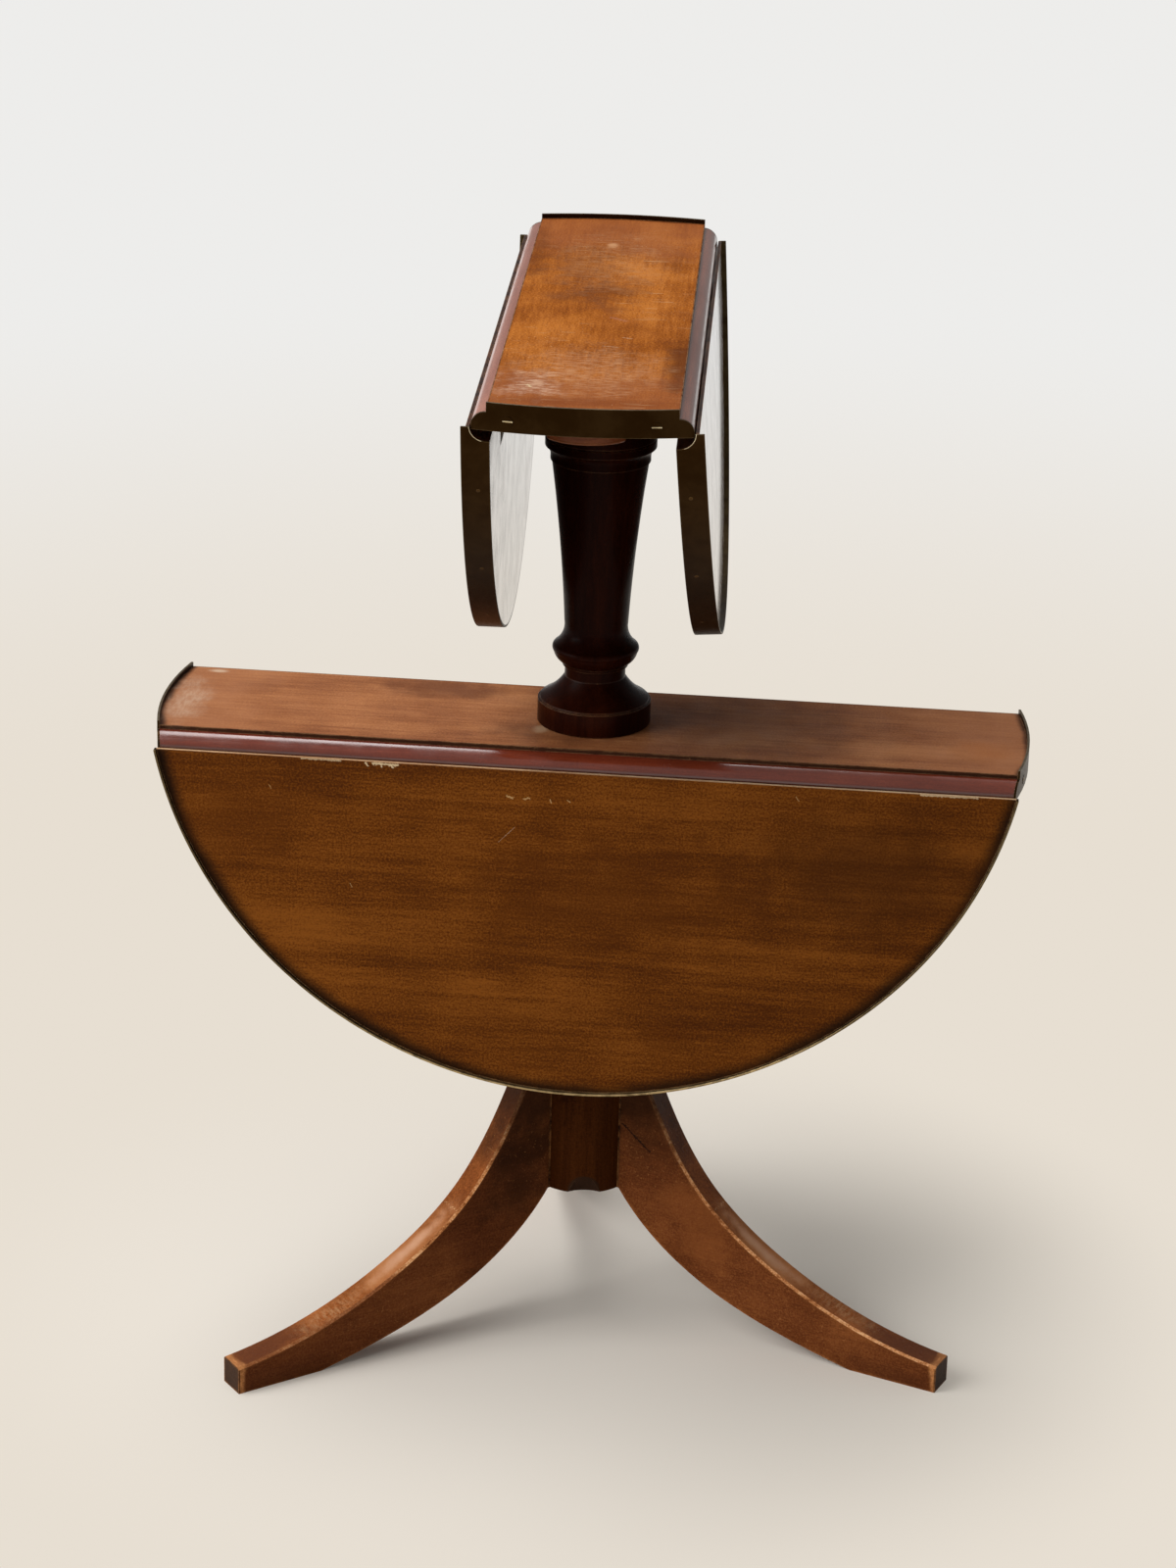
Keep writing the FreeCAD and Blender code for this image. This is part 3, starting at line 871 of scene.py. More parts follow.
def carve(piece: Piece, boxes: Sequence[Box]) -> None:
    """Cuts boxes out of a piece.

    Args:
        piece: The piece, whose mesh is changed.
        boxes: Opposite corners of each box, in the piece's own space.
    """
    cutter = bmesh.new()
    for low, high in boxes:
        grown = bmesh.ops.create_cube(cutter, size=1.0)["verts"]
        bmesh.ops.scale(cutter, vec=high - low, verts=grown)
        bmesh.ops.translate(cutter, vec=(low + high) / 2, verts=grown)
    tool = linked("recess_tool", cutter, piece.matrix_world)
    cut = piece.modifiers.new("recess", "BOOLEAN")
    cut.operation, cut.object, cut.solver, cut.use_self = "DIFFERENCE", tool, "EXACT", True
    view = bpy.context.evaluated_depsgraph_get()
    carved = bpy.data.meshes.new_from_object(piece.evaluated_get(view))
    piece.modifiers.clear()
    piece.data = carved
    bpy.data.objects.remove(tool)


def softened_node(node: str, width: float, place: Matrix) -> Piece:
    """Copy of a CAD node with rounded edges, in its own space.

    Args:
        node: The node.
        width: How far the rounding reaches.
        place: The space that the copy's grain follows.

    Returns:
        The copy.
    """
    mesh = bmesh.new()
    mesh.from_mesh(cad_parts[node].data)
    bmesh.ops.remove_doubles(mesh, verts=mesh.verts, dist=WELD)
    bmesh.ops.dissolve_limit(mesh, angle_limit=FLAT_ANGLE, verts=mesh.verts, edges=mesh.edges)
    soften(mesh, width)
    bmesh.ops.transform(mesh, matrix=place.inverted(), verts=mesh.verts)
    return linked(f"{node}_softened", mesh, place)


def keep_drawn_space(piece: Piece) -> None:
    """Notes on each vertex where it was drawn, and moves the mesh to where the piece stands.

    Args:
        piece: The piece.
    """
    data = piece.data
    drawn = np.zeros(len(data.vertices) * 3, np.float32)
    data.vertices.foreach_get("co", drawn)
    data.attributes.new(DRAWN_SPACE, "FLOAT_VECTOR", "POINT").data.foreach_set("vector", drawn)
    data.transform(piece.matrix_world)
    piece.matrix_world = Matrix.Identity(4)


class Body(Enum):
    """Bodies of the frame, apart from the leaves', which have their leaves' names."""

    PEDESTAL = "pedestal"
    LOWER_TOP = "lower_top"
    UPPER_TOP = "upper_top"


def dress(piece: Piece, body: str, slot: Slot, finishes: Sequence[Material], *nodes: str) -> None:
    """Gives a piece its body and its finishes, and hides the nodes that it stands for.

    Args:
        piece: The piece.
        body: The body that it rides on.
        slot: The record's slot; not used.
        finishes: The materials of its zones, in order.
        nodes: Nodes that it replaces.
    """
    for finish in finishes:
        piece.data.materials.append(finish)
    keep_drawn_space(piece)
    weighted(piece)
    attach(piece, body)
    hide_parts(*nodes)
    names = ", ".join(finish.name for finish in finishes)
    log.info("%s rides on %s, finished as %s, for %s", piece.name, body, names, ", ".join(nodes) or "detail")


def dress_node(node: str, finish: Material) -> None:
    """Gives a node that stays its finish.

    Args:
        node: The node.
        finish: Its material.
    """
    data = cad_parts[node].data
    data.materials.clear()
    data.materials.append(finish)
    log.info("%s stays, finished as %s", node, finish.name)


# Fixings


@dataclass(frozen=True)
class SlottedScrew:
    """Countersunk slotted wood screw pointing down, its slot's floor just proud of the origin's height."""

    head: float
    shank: float
    length: float
    proud: float = 0.00026
    slot_width: float = 0.0008
    slot_depth: float = 0.00022
    slot_floor_share: float = 0.8
    tip_share: float = 0.25
    segments: int = 28

    def add_to(self, mesh: Mesh, place: Matrix) -> None:
        """Adds one screw.

        Args:
            mesh: The mesh to add to.
            place: Where its head is, with the screw pointing down its Z axis and the slot along X.
        """
        neck, tip = self.head - self.shank, self.length - self.shank
        profile = ((self.shank * self.tip_share, -self.length), (self.shank, -tip), (self.shank, -neck),
                   (self.head, -self.proud), (self.head - self.proud, self.proud))
        screw = turned_mesh(profile, self.segments)
        for side in (-1, 1):
            bmesh.ops.bisect_plane(screw, geom=screw.verts[:] + screw.edges[:] + screw.faces[:],
                                   plane_co=(0.0, side * self.slot_width / 2, 0.0), plane_no=(0.0, 1.0, 0.0))
        across = [f for f in screw.faces
                  if f.normal.z > FACING and abs(f.calc_center_median().y) < self.slot_width / 2]
        floor = [g for g in bmesh.ops.extrude_face_region(screw, geom=across)["geom"]
                 if isinstance(g, bmesh.types.BMVert)]
        bmesh.ops.delete(screw, geom=across, context="FACES_ONLY")
        for corner in floor:
            corner.co.z -= self.slot_depth
            corner.co.x *= self.slot_floor_share
            for face in corner.link_faces:
                face.material_index = Zone.EDGE
        bmesh.ops.recalc_face_normals(screw, faces=screw.faces)
        bmesh.ops.transform(screw, matrix=place, verts=screw.verts)
        join(mesh, screw)


@dataclass(frozen=True)
class RimPin:
    """Round brass pin with a low domed head, pointing down."""

    radius: float = 0.0013
    length: float = 0.011
    dome: float = 0.0002
    dome_angles: tuple[float, ...] = (0.0, 0.5, 1.0, 1.4)
    segments: int = 16

    def add_to(self, mesh: Mesh, place: Matrix) -> None:
        """Adds one pin.

        Args:
            mesh: The mesh to add to.
            place: Where its head is, with the pin pointing down its Z axis.
        """
        dome = [(self.radius * math.cos(a), self.dome * math.sin(a)) for a in self.dome_angles]
        pin = turned_mesh([(self.radius, -self.length), *dome], self.segments)
        bmesh.ops.transform(pin, matrix=place, verts=pin.verts)
        join(mesh, pin)


def join(mesh: Mesh, other: Mesh) -> None:
    """Moves one mesh into another.

    Args:
        mesh: The mesh that takes it.
        other: The mesh that is moved and freed.
    """
    carrier = bpy.data.meshes.new("carrier")
    other.to_mesh(carrier)
    other.free()
    mesh.from_mesh(carrier)
    bpy.data.meshes.remove(carrier)


def facing(point: Vector, out: Vector, level: Vector) -> Matrix:
    """Place of a fixing.

    Args:
        point: Where its head is.
        out: The way that the head faces.
        level: The way that its slot runs.

    Returns:
        The matrix.
    """
    across = out.cross(level)
    turned = Matrix((level, across, out)).transposed()
    return Matrix.Translation(point) @ turned.to_4x4()


# Tiers


@dataclass(frozen=True)
class RuleJoint:
    """Sizes of the rule joint, whose pin lies at the centre of the ovolo and of the leaf's cove."""

    step: float = 0.003
    ovolo: float = 0.0096
    land: float = 0.0024
    gap: float = 0.0004
    clearance: float = 0.0007
    arc_steps: int = 12

    @property
    def pin_depth(self) -> float:
        """Depth of the hinge pin below the surface."""
        return self.step + self.ovolo

    @property
    def thickness(self) -> float:
        """Thickness of the boards."""
        return self.pin_depth + self.land

    @property
    def cove(self) -> float:
        """Radius of the leaf's cove."""
        return self.ovolo + self.clearance

    def quarter(self, radius: float, gap: float = 0.0) -> list[Point]:
        """The joint's arc, from over the pin outwards.

        Args:
            radius: The arc's radius.
            gap: How far outside the pin it begins.

        Returns:
            Distances from the pin and heights.
        """
        start = math.acos(gap / radius)
        angles = [start * (1 - step / self.arc_steps) for step in range(self.arc_steps + 1)]
        return [(radius * math.cos(a), radius * math.sin(a) - self.pin_depth) for a in angles]


@dataclass(frozen=True)
class Band:
    """Brass strip round the ends and rims, standing above the wood."""

    thick: float = 0.0016
    lip: float = 0.0032
    screw: SlottedScrew = SlottedScrew(head=0.0035, shank=0.0018, length=0.016)
    screw_out_share: float = 0.77
    screw_depth_share: float = 0.53
    pin: RimPin = RimPin()
    pin_count: int = 9


@dataclass(frozen=True)
class Hinge:
    """Table hinge let in flush with the undersides, drawn for the side +1 with the leaf raised."""

    place_share: float = 0.55
    half_width: float = 0.019
    board_flap: float = 0.022
    leaf_flap: float = 0.040
    thick: float = 0.0014
    let_in: float = 0.0003
    sweep: float = 0.0027
    screw: SlottedScrew = SlottedScrew(head=0.0026, shank=0.0013, length=0.010)
    slot_turns: float = 40.0
    leaf_screws: tuple[Point, ...] = ((-0.011, 0.033), (0.011, 0.033), (0.0, 0.016))
    board_screws: tuple[Point, ...] = ((-0.011, -0.015), (0.011, -0.015))


@dataclass(frozen=True)
class Brasses:
    """Finishes of the metal parts that both tiers share."""

    band: Material
    band_edge: Material
    cove_highlight: Material
    band_screw: Material
    fixing: Material
    slot: Material
    hinge: Material
    rims: dict[str, Material]


@dataclass(frozen=True)
class Leaf:
    """A leaf's side of its board, and how far short of plumb it hangs, in degrees."""

    name: str
    side: int
    splay: float = 0.0


@dataclass
class Tier:
    """One round top: a board, its two leaves, their brass bands, fixings and hinges."""

    name: str
    body: Body
    radius: float
    half_width: float
    height: float
    angle: float
    ends: dict[str, int]
    leaves: tuple[Leaf, ...]
    board_finishes: tuple[Mahogany, ...]
    leaf_finishes: tuple[Mahogany, ...]
    joint: RuleJoint = RuleJoint()
    band: Band = Band()
    hinge: Hinge = Hinge()
    wood_edge: float = 0.0004
    band_edge: float = 0.0004
    rim_steps: int = 48
    flat_steps: int = 10
    leaf_woods: list[Material] = field(init=False)

    def __post_init__(self) -> None:
        """Mixes the finishes that both leaves share."""
        self.leaf_woods = [finish.material() for finish in self.leaf_finishes]

    @property
    def place(self) -> Matrix:
        """Where the tier stands."""
        turned = Matrix.Rotation(math.radians(self.angle), 4, "Z")
        return Matrix.Translation((0.0, 0.0, self.height)) @ turned

    def hung(self, leaf: Leaf) -> Matrix:
        """Where a leaf that was drawn raised hangs.

        Args:
            leaf: The leaf.

        Returns:
            Its place.
        """
        pin = Matrix.Translation((0.0, leaf.side * self.half_width, -self.joint.pin_depth))
        swing = Matrix.Rotation(math.radians(leaf.side * (leaf.splay - 90.0)), 4, "X")
        return self.place @ pin @ swing @ pin.inverted()

    def board_cuts(self, rise: float) -> list[Cut]:
        """The board's section: flat, with a step, an ovolo and a land on each side.

        Args:
            rise: Height of its top.

        Returns:
            The section from side to side.
        """
        under, w = -self.joint.thickness, self.half_width
        flats = [w * (2 * step / self.flat_steps - 1) for step in range(1, self.flat_steps)]
        right = [Cut(w + out, under, high) for out, high in self.joint.quarter(self.joint.ovolo)]
        left = [Cut(-cut.out, cut.low, cut.high) for cut in reversed(right)]
        middle = [Cut(y, under, rise) for y in (-w, *flats, w)]
        return left + middle + right

    def leaf_cuts(self, rise: float) -> list[Cut]:
        """The section of the leaf on the side +1, from its cove out to the rim.

        Args:
            rise: Height of its top.

        Returns:
            The section.
        """
        under, w = -self.joint.thickness, self.half_width
        cove = [Cut(w + out, low, rise) for out, low in self.joint.quarter(self.joint.cove, self.joint.gap)]
        start = math.asin((w + self.joint.cove) / self.radius)
        stride = (math.pi / 2 - start) / self.rim_steps
        turns = [start + stride * step for step in range(1, self.rim_steps + 1)]
        rim = [Cut(self.radius * math.sin(a), under, rise, True) for a in turns]
        return cove + [Cut(w + self.joint.cove, under, rise)] + rim

    def at_rim(self, radius: float, end: int, side: int) -> Place:
        """How a section's points lie on an upright cylinder.

        Args:
            radius: The cylinder's radius.
            end: The end of the board: -1 or 1.
            side: The side of the board: -1 or 1.

        Returns:
            The function that places a point.
        """
        def placed(cut: Cut, height: float) -> Vector:
            """Point of the cylinder on one line of the section.

            Args:
                cut: The line.
                height: The point's height.

            Returns:
                The point.
            """
            out = cut.out * radius / self.radius if cut.on_rim else cut.out
            along = math.sqrt(max(radius**2 - out**2, 0.0))
            return Vector((end * along, side * out, height))

        return placed

    def slab(self, cuts: Sequence[Cut], side: int) -> Mesh:
        """Wood inside the bands.

        Args:
            cuts: The section.
            side: The side of the board.

        Returns:
            The mesh.
        """
        mesh = bmesh.new()
        inner = self.radius - self.band.thick
        wall_between(mesh, cuts, self.at_rim(inner, -1, side), self.at_rim(inner, 1, side))
        soften(mesh, self.wood_edge)
        for face in mesh.faces:
            out, from_pin = self.from_pin(face.calc_center_median())
            if cuts[-1].on_rim:
                if out < self.joint.gap + self.wood_edge:
                    face.material_index = Zone.EDGE
                elif from_pin < self.joint.cove + self.joint.gap:
                    face.material_index = Zone.SHAPED
            elif out > 0.0 and face.normal.z > NOT_DOWN:
                face.material_index = Zone.SHAPED
        return mesh

    def from_pin(self, point: Vector) -> Point:
        """How far a point lies outside the pins and how far it lies from the nearer pin's axis."""
        out = abs(point.y) - self.half_width
        return out, math.hypot(out, point.z + self.joint.pin_depth)

    def hoop(self, cuts: Sequence[Cut], ends: Sequence[int], side: int) -> Mesh:
        """Brass round one end, or round both ends and the rim between.

        Args:
            cuts: The section.
            ends: The ends that it covers.
            side: The side of the board.

        Returns:
            The mesh.
        """
        mesh = bmesh.new()
        inner = self.radius - self.band.thick
        for end in ends:
            outside, inside = self.at_rim(self.radius, end, side), self.at_rim(inner, end, side)
            wall_between(mesh, cuts, outside, inside, last=len(ends) == 1)
        soften(mesh, self.band_edge)
        for face in mesh.faces:
            middle = face.calc_center_median()
            inward = face.normal.xy.dot(middle.xy) < -FACING * middle.xy.length
            if middle.z > 0.0 and face.normal.z > FACING or inward and cuts[-1].on_rim:
                face.material_index = Zone.EDGE
            elif face.material_index == Zone.EDGE and cuts[-1].on_rim:
                out, from_pin = self.from_pin(middle)
                if out < self.joint.cove and abs(from_pin - self.joint.cove) < self.band_edge:
                    face.material_index = Zone.SHAPED
        return mesh

    def hinge_places(self) -> tuple[float, float]:
        """Where the two hinges of a leaf lie along it."""
        half = math.sqrt(self.radius**2 - self.half_width**2)
        return -self.hinge.place_share * half, self.hinge.place_share * half

    def board_recesses(self) -> list[Box]:
        """Let-ins for the short flaps and the knuckles.

        Returns:
            Opposite corners of each.
        """
        hinge, w, base = self.hinge, self.half_width, -self.joint.thickness
        half, boxes = hinge.half_width + hinge.let_in, []
        for_flap = (w - hinge.board_flap - hinge.let_in, w + 2 * self.joint.ovolo,
                    base + hinge.thick + hinge.let_in)
        for_knuckles = (w - hinge.sweep, w + hinge.sweep, hinge.sweep - self.joint.pin_depth)
        for x in self.hinge_places():
            for side in (-1, 1):
                for start, end, top in (for_flap, for_knuckles):
                    low, high = sorted((side * start, side * end))
                    boxes.append((Vector((x - half, low, 2 * base)), Vector((x + half, high, top))))
        return boxes

    def leaf_recesses(self, side: int) -> list[Box]:
        """Let-ins for the long flaps.

        Args:
            side: The leaf's side of the board.

        Returns:
            Opposite corners of each.
        """
        hinge, w, base = self.hinge, self.half_width, -self.joint.thickness
        half, boxes = hinge.half_width + hinge.let_in, []
        for x in self.hinge_places():
            low, high = sorted((side * w, side * (w + hinge.leaf_flap + hinge.let_in)))
            top = base + hinge.thick + hinge.let_in
            boxes.append((Vector((x - half, low, 2 * base)), Vector((x + half, high, top))))
        return boxes

    def band_screws(self) -> Mesh:
        """Two slotted screws through the band at each end, square to it.

        Returns:
            The mesh.
        """
        mesh = bmesh.new()
        upward = Vector((0.0, 0.0, 1.0))
        depth = self.joint.thickness * self.band.screw_depth_share
        bearing = math.asin(self.band.screw_out_share * self.half_width / self.radius)
        for end in (-1, 1):
            for side in (-1, 1):
                out = Vector((end * math.cos(bearing), side * math.sin(bearing), 0.0))
                point = out * self.radius - upward * depth
                self.band.screw.add_to(mesh, facing(point, out, out.cross(upward)))
        return mesh

    def rim_pins(self, side: int) -> Mesh:
        """Pins through a leaf's rim, evenly spaced along the arc.

        Args:
            side: The leaf's side of the board.

        Returns:
            The mesh.
        """
        mesh = bmesh.new()
        half_arc = math.acos((self.half_width + self.joint.cove) / self.radius)
        spacing = 2 * half_arc / self.band.pin_count
        upward = Vector((0.0, 0.0, 1.0))
        for number in range(self.band.pin_count):
            bearing = (number + 0.5) * spacing - half_arc
            out = Vector((math.sin(bearing), side * math.cos(bearing), 0.0))
            point = out * self.radius - upward * (self.joint.thickness / 2)
            self.band.pin.add_to(mesh, facing(point, out, upward))
        return mesh

    def hinge_screws(self, places: Sequence[Point], sides: Sequence[int]) -> Mesh:
        """Slotted screws through one kind of flap.

        Args:
            places: Where they lie on a flap, along the pin and away from it.
            sides: The sides of the board.

        Returns:
            The mesh.
        """
        mesh = bmesh.new()
        down = Vector((0.0, 0.0, -1.0))
        for side in sides:
            for x in self.hinge_places():
                for along, away in places:
                    point = Vector((x + along, side * (self.half_width + away), -self.joint.thickness))
                    turn = self.hinge.slot_turns * (along + away + x) / self.hinge.half_width
                    level = Vector((math.cos(turn), math.sin(turn), 0.0))
                    self.hinge.screw.add_to(mesh, facing(point, down, level))
        return mesh

    def build(self, brasses: Brasses) -> None:
        """Builds and dresses every piece of the tier.

        Args:
            brasses: The finishes of the metal parts.
        """
        name, body = self.name, self.body.value
        board = linked(f"{name}_board_wood", self.slab(self.board_cuts(0.0), 1), self.place)
        carve(board, self.board_recesses())
        woods = [finish.material() for finish in self.board_finishes]
        dress(board, body, Slot.BOARD, woods, f"{name}_board")
        for end_name, end in self.ends.items():
            bent = self.hoop(self.board_cuts(self.band.lip), (end,), 1)
            strip = linked(f"{name}_band_{end_name}", bent, self.place)
            dress(strip, body, Slot.BAND, (brasses.band, brasses.band_edge), f"{name}_board_band_{end_name}")
        screws = linked(f"{name}_slotted_screws", self.band_screws(), self.place)
        # The slots' faces take a pale finish, a painted highlight.
        dress(screws, body, Slot.FIXING, (brasses.band_screw, brasses.slot), f"{name}_band_screws")
        small = self.hinge_screws(self.hinge.board_screws, (-1, 1))
        flap_screws = linked(f"{name}_board_flap_screws", small, self.place)
        dress(flap_screws, body, Slot.FIXING, (brasses.fixing, brasses.fixing))
        dress_node(f"{name}_hinge_board_flaps", brasses.hinge)
        dress_node(f"{name}_hinge_pins", brasses.hinge)
        for leaf in self.leaves:
            self.build_leaf(leaf, brasses)

    def build_leaf(self, leaf: Leaf, brasses: Brasses) -> None:
        """Builds and dresses one leaf.

        Args:
            leaf: The leaf.
            brasses: The finishes of the metal parts.
        """
        name, place = f"{self.name}_leaf_{leaf.name}", self.hung(leaf)
        wood = linked(f"{name}_wood", self.slab(self.leaf_cuts(0.0), leaf.side), place)
        carve(wood, self.leaf_recesses(leaf.side))
        dress(wood, name, Slot.LEAF, self.leaf_woods, name)
        strip = linked(f"{name}_rim", self.hoop(self.leaf_cuts(self.band.lip), (-1, 1), leaf.side), place)
        # The cove's edge takes a painted highlight; on the lower tier the rim's lip is brighter near its
        # middle, a painted highlight.
        metals = (brasses.band, brasses.rims[self.name], brasses.cove_highlight)
        dress(strip, name, Slot.BAND, metals, f"{name}_band")
        pins = linked(f"{name}_rim_pins", self.rim_pins(leaf.side), place)
        dress(pins, name, Slot.FIXING, (brasses.fixing,), f"{name}_band_pins")
        screws = linked(f"{name}_flap_screws", self.hinge_screws(self.hinge.leaf_screws, (leaf.side,)), place)
        dress(screws, name, Slot.FIXING, (brasses.fixing, brasses.fixing))
        dress_node(f"{name}_hinge_flaps", brasses.hinge)


# Pedestal


@dataclass(frozen=True)
class TurnedPattern:
    """The turner's pattern: radius as a share of the cap's, height as a share of the length.

    A step is a point, or a middle point and an end point of an arc.
    """

    foot_shares: tuple = ((1.031, 0.0), (1.031, 0.062), (0.995, 0.062), (0.995, 0.067))
    flare_shares: tuple = (((0.743, 0.093), (0.551, 0.128)), (0.551, 0.157), (0.597, 0.157), (0.597, 0.166))
    bead_shares: tuple = (((0.710, 0.179), (0.764, 0.197)), ((0.787, 0.207), (0.743, 0.217)))
    vase_shares: tuple = (((0.623, 0.239), (0.579, 0.279)), ((0.691, 0.500), (0.873, 0.725)))
    ring_shares: tuple = ((0.899, 0.725), (0.899, 0.735), ((0.921, 0.752), (1.0, 0.764)))
    cap_shares: tuple = ((1.0, 0.784), (0.979, 0.784), (0.979, 0.789), (1.0, 0.789), (1.0, 1.0))
    arc_steps: int = 12

    def profile(self, radius: float, base: float, top: float) -> list[Point]:
        """The pattern at its real size.

        Args:
            radius: The cap's radius.
            base: Height of its foot.
            top: Height of its cap's face.

        Returns:
            Radii and heights from the foot up.
        """
        def sized(share: Point) -> Point:
            """One point at its real size."""
            return share[0] * radius, base + share[1] * (top - base)

        points: list[Point] = []
        steps = (*self.foot_shares, *self.flare_shares, *self.bead_shares, *self.vase_shares,
                 *self.ring_shares, *self.cap_shares)
        for step in steps:
            if isinstance(step[0], tuple):
                points += arc_through(points[-1], sized(step[0]), sized(step[1]), self.arc_steps)
            else:
                points.append(sized(step))
        return points


@dataclass
class Pedestal:
    """Three sabre legs, the leg block, the turned column, its bearers and the hidden rod."""

    cap_radius: float = 0.0385
    column_base: float = 0.4513
    column_top: float = 0.7132
    spigot_radius: float = 0.014
    first_leg: float = 98.5
    legs: tuple[str, ...] = ("leg_back", "leg_front_left", "leg_front_right")
    leg_edge: float = 0.0010
    ridge: Point = (0.3, 0.95)
    top_tilt: float = 0.2
    block_edge: float = 0.0005
    column_edge: float = 0.0004
    segments: int = 128
    pattern: TurnedPattern = TurnedPattern()

    def column_mesh(self) -> Mesh:
        """The length between the tiers, with its spigot and tenon.

        Returns:
            The mesh.
        """
        low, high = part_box("upper_column")
        turned = self.pattern.profile(self.cap_radius, self.column_base, self.column_top)
        spigot = [(self.spigot_radius, low.z), (self.spigot_radius, self.column_base)]
        tenon = [(self.spigot_radius, self.column_top), (self.spigot_radius, high.z)]
        mesh = turned_mesh(spigot + turned + tenon, self.segments)
        soften(mesh, self.column_edge)
        return mesh

    def build(self, column: Sequence[Material], block: Sequence[Material], leg: Sequence[Material],
              bearer: Sequence[Material], hidden: Material, iron: Material) -> None:
        """Builds and dresses every piece that stands still.

        Args:
            column: The upper column's finishes.
            block: The lower column's finishes.
            leg: The legs' finishes.
            bearer: The bearers' finishes.
            hidden: The finish of wood screws.
            iron: The finish of the rod and its nuts.
        """
        body = Body.PEDESTAL.value
        for number, node in enumerate(self.legs):
            bearing = math.radians(self.first_leg + 360.0 * number / len(self.legs))
            piece = softened_node(node, self.leg_edge, Matrix.Rotation(bearing, 4, "Z"))
            for face in piece.data.polygons:
                if self.ridge[0] < abs(face.normal.y) < self.ridge[1]:
                    face.material_index = Zone.EDGE
                # Upward faces take the third finish, a paler copy of the leg wood that paints light from
                # above.
                elif face.normal.z > self.top_tilt:
                    face.material_index = Zone.SHAPED
            dress(piece, body, Slot.LEG, leg, node)
        upper = linked("upper_column_turning", self.column_mesh(), Matrix.Identity(4))
        dress(upper, body, Slot.COLUMN, column, "upper_column")
        lower = softened_node("lower_column", self.block_edge, Matrix.Identity(4))
        dress(lower, body, Slot.COLUMN, block, "lower_column")
        for node in ("lower_bearer", "upper_bearer"):
            piece = softened_node(node, self.block_edge, Matrix.Identity(4))
            dress(piece, body, Slot.BEARER, bearer, node)
        for node in ("lower_bearer_screws", "upper_bearer_screws"):
            dress_node(node, hidden)
        for node in ("tie_rod", "tie_rod_foot_washer", "tie_rod_foot_nut", "pivot_washer", "pivot_lock_nut"):
            dress_node(node, iron)


# Studio


@dataclass(frozen=True)
class Lamp:
    """A soft oblong lamp, aimed at the middle of the table."""

    name: str
    place: Spot
    size: Point
    power: float
    colour: Colour = (1.0, 1.0, 1.0)

    def build(self, target: Vector) -> None:
        """Hangs the lamp.

        Args:
            target: The point that it is aimed at.
        """
        data = bpy.data.lights.new(self.name, "AREA")
        data.shape, (data.size, data.size_y) = "RECTANGLE", self.size
        data.energy, data.color = self.power, self.colour
        lamp = bpy.data.objects.new(self.name, data)
        lamp.location = self.place
        lamp.rotation_euler = (target - Vector(self.place)).to_track_quat("-Z", "Y").to_euler()
        bpy.context.scene.collection.objects.link(lamp)


@dataclass(frozen=True)
class Camera:
    """The photograph's viewpoint, in metres and degrees, and its lens in pixels of the picture."""

    place: Spot = (0.2414, -2.6676, 1.4356)
    turn: float = 5.2308
    down: float = 21.0996
    roll: float = 1.5305
    focal_pixels: float = 4145.56
    picture: tuple[int, int] = (1200, 1600)

    def build(self) -> None:
        """Sets the scene's camera."""
        data = bpy.data.cameras.new("camera")
        data.lens = self.focal_pixels * data.sensor_width / max(self.picture)
        camera = bpy.data.objects.new("camera", data)
        tilt = Matrix.Rotation(math.radians(90.0 - self.down), 4, "X")
        heading = Matrix.Rotation(math.radians(self.turn), 4, "Z")
        twist = Matrix.Rotation(math.radians(self.roll), 4, "Z")
        camera.matrix_world = Matrix.Translation(self.place) @ heading @ tilt @ twist
        bpy.context.scene.collection.objects.link(camera)
        bpy.context.scene.camera = camera


@dataclass(frozen=True)
class Studio:
    """Pale floor, soft lamps, pale surroundings and the camera."""

    floor_radius: float = 14.0
    floor_sides: int = 96
    floor_finish: PlainFloor = PlainFloor()
    ambient: float = 0.25
    overhead: float = 0.4
    background: Colour = (0.86, 0.86, 0.85)
    target: Spot = (0.0, 0.0, 0.4)
    camera: Camera = Camera()
    lamps: tuple[Lamp, ...] = (
        Lamp("top_lamp", (-1.0, 0.45, 3.1), (3.4, 0.9), 54.0),
        Lamp("side_lamp", (-2.9, -1.2, 1.9), (2.0, 2.0), 62.0),
        Lamp("front_lamp", (-2.3, -2.0, 2.8), (2.0, 2.0), 40.0),
    )

    def build(self) -> None:
        """Sets up the studio."""
        bpy.context.scene.view_settings.view_transform = "Standard"
        mesh = bmesh.new()
        bmesh.ops.create_circle(mesh, cap_ends=True, segments=self.floor_sides, radius=self.floor_radius)
        floor = linked("floor", mesh, Matrix.Identity(4))
        floor.data.materials.append(self.floor_finish.material())
        for lamp in self.lamps:
            lamp.build(Vector(self.target))
        self.surround()
        self.camera.build()
        log.info("studio set with %d lamps", len(self.lamps))

    def surround(self) -> None:
        """Dim even light all round, paler to the camera and in reflections."""
        world = bpy.data.worlds.new("surroundings")
        world.use_nodes = True
        tree = world.node_tree
        shade = tree.nodes["Background"]
        shade.inputs["Color"].default_value = (*self.background, 1.0)
        path = tree.nodes.new("ShaderNodeLightPath")
        strength: object = self.ambient
        for ray, seen in (("Camera", 1.0), ("Transmission", 1.0), ("Glossy", self.overhead)):
            scaled, brighter = (tree.nodes.new("ShaderNodeMath") for _ in range(2))
            scaled.operation, brighter.operation = "MULTIPLY", "MAXIMUM"
            scaled.inputs[1].default_value = seen
            tree.links.new(path.outputs[f"Is {ray} Ray"], scaled.inputs[0])
            tree.links.new(scaled.outputs["Value"], brighter.inputs[0])
            if isinstance(strength, Socket):
                tree.links.new(strength, brighter.inputs[1])
            else:
                brighter.inputs[1].default_value = strength
            strength = brighter.outputs["Value"]
        tree.links.new(strength, shade.inputs["Strength"])
        bpy.context.scene.world = world
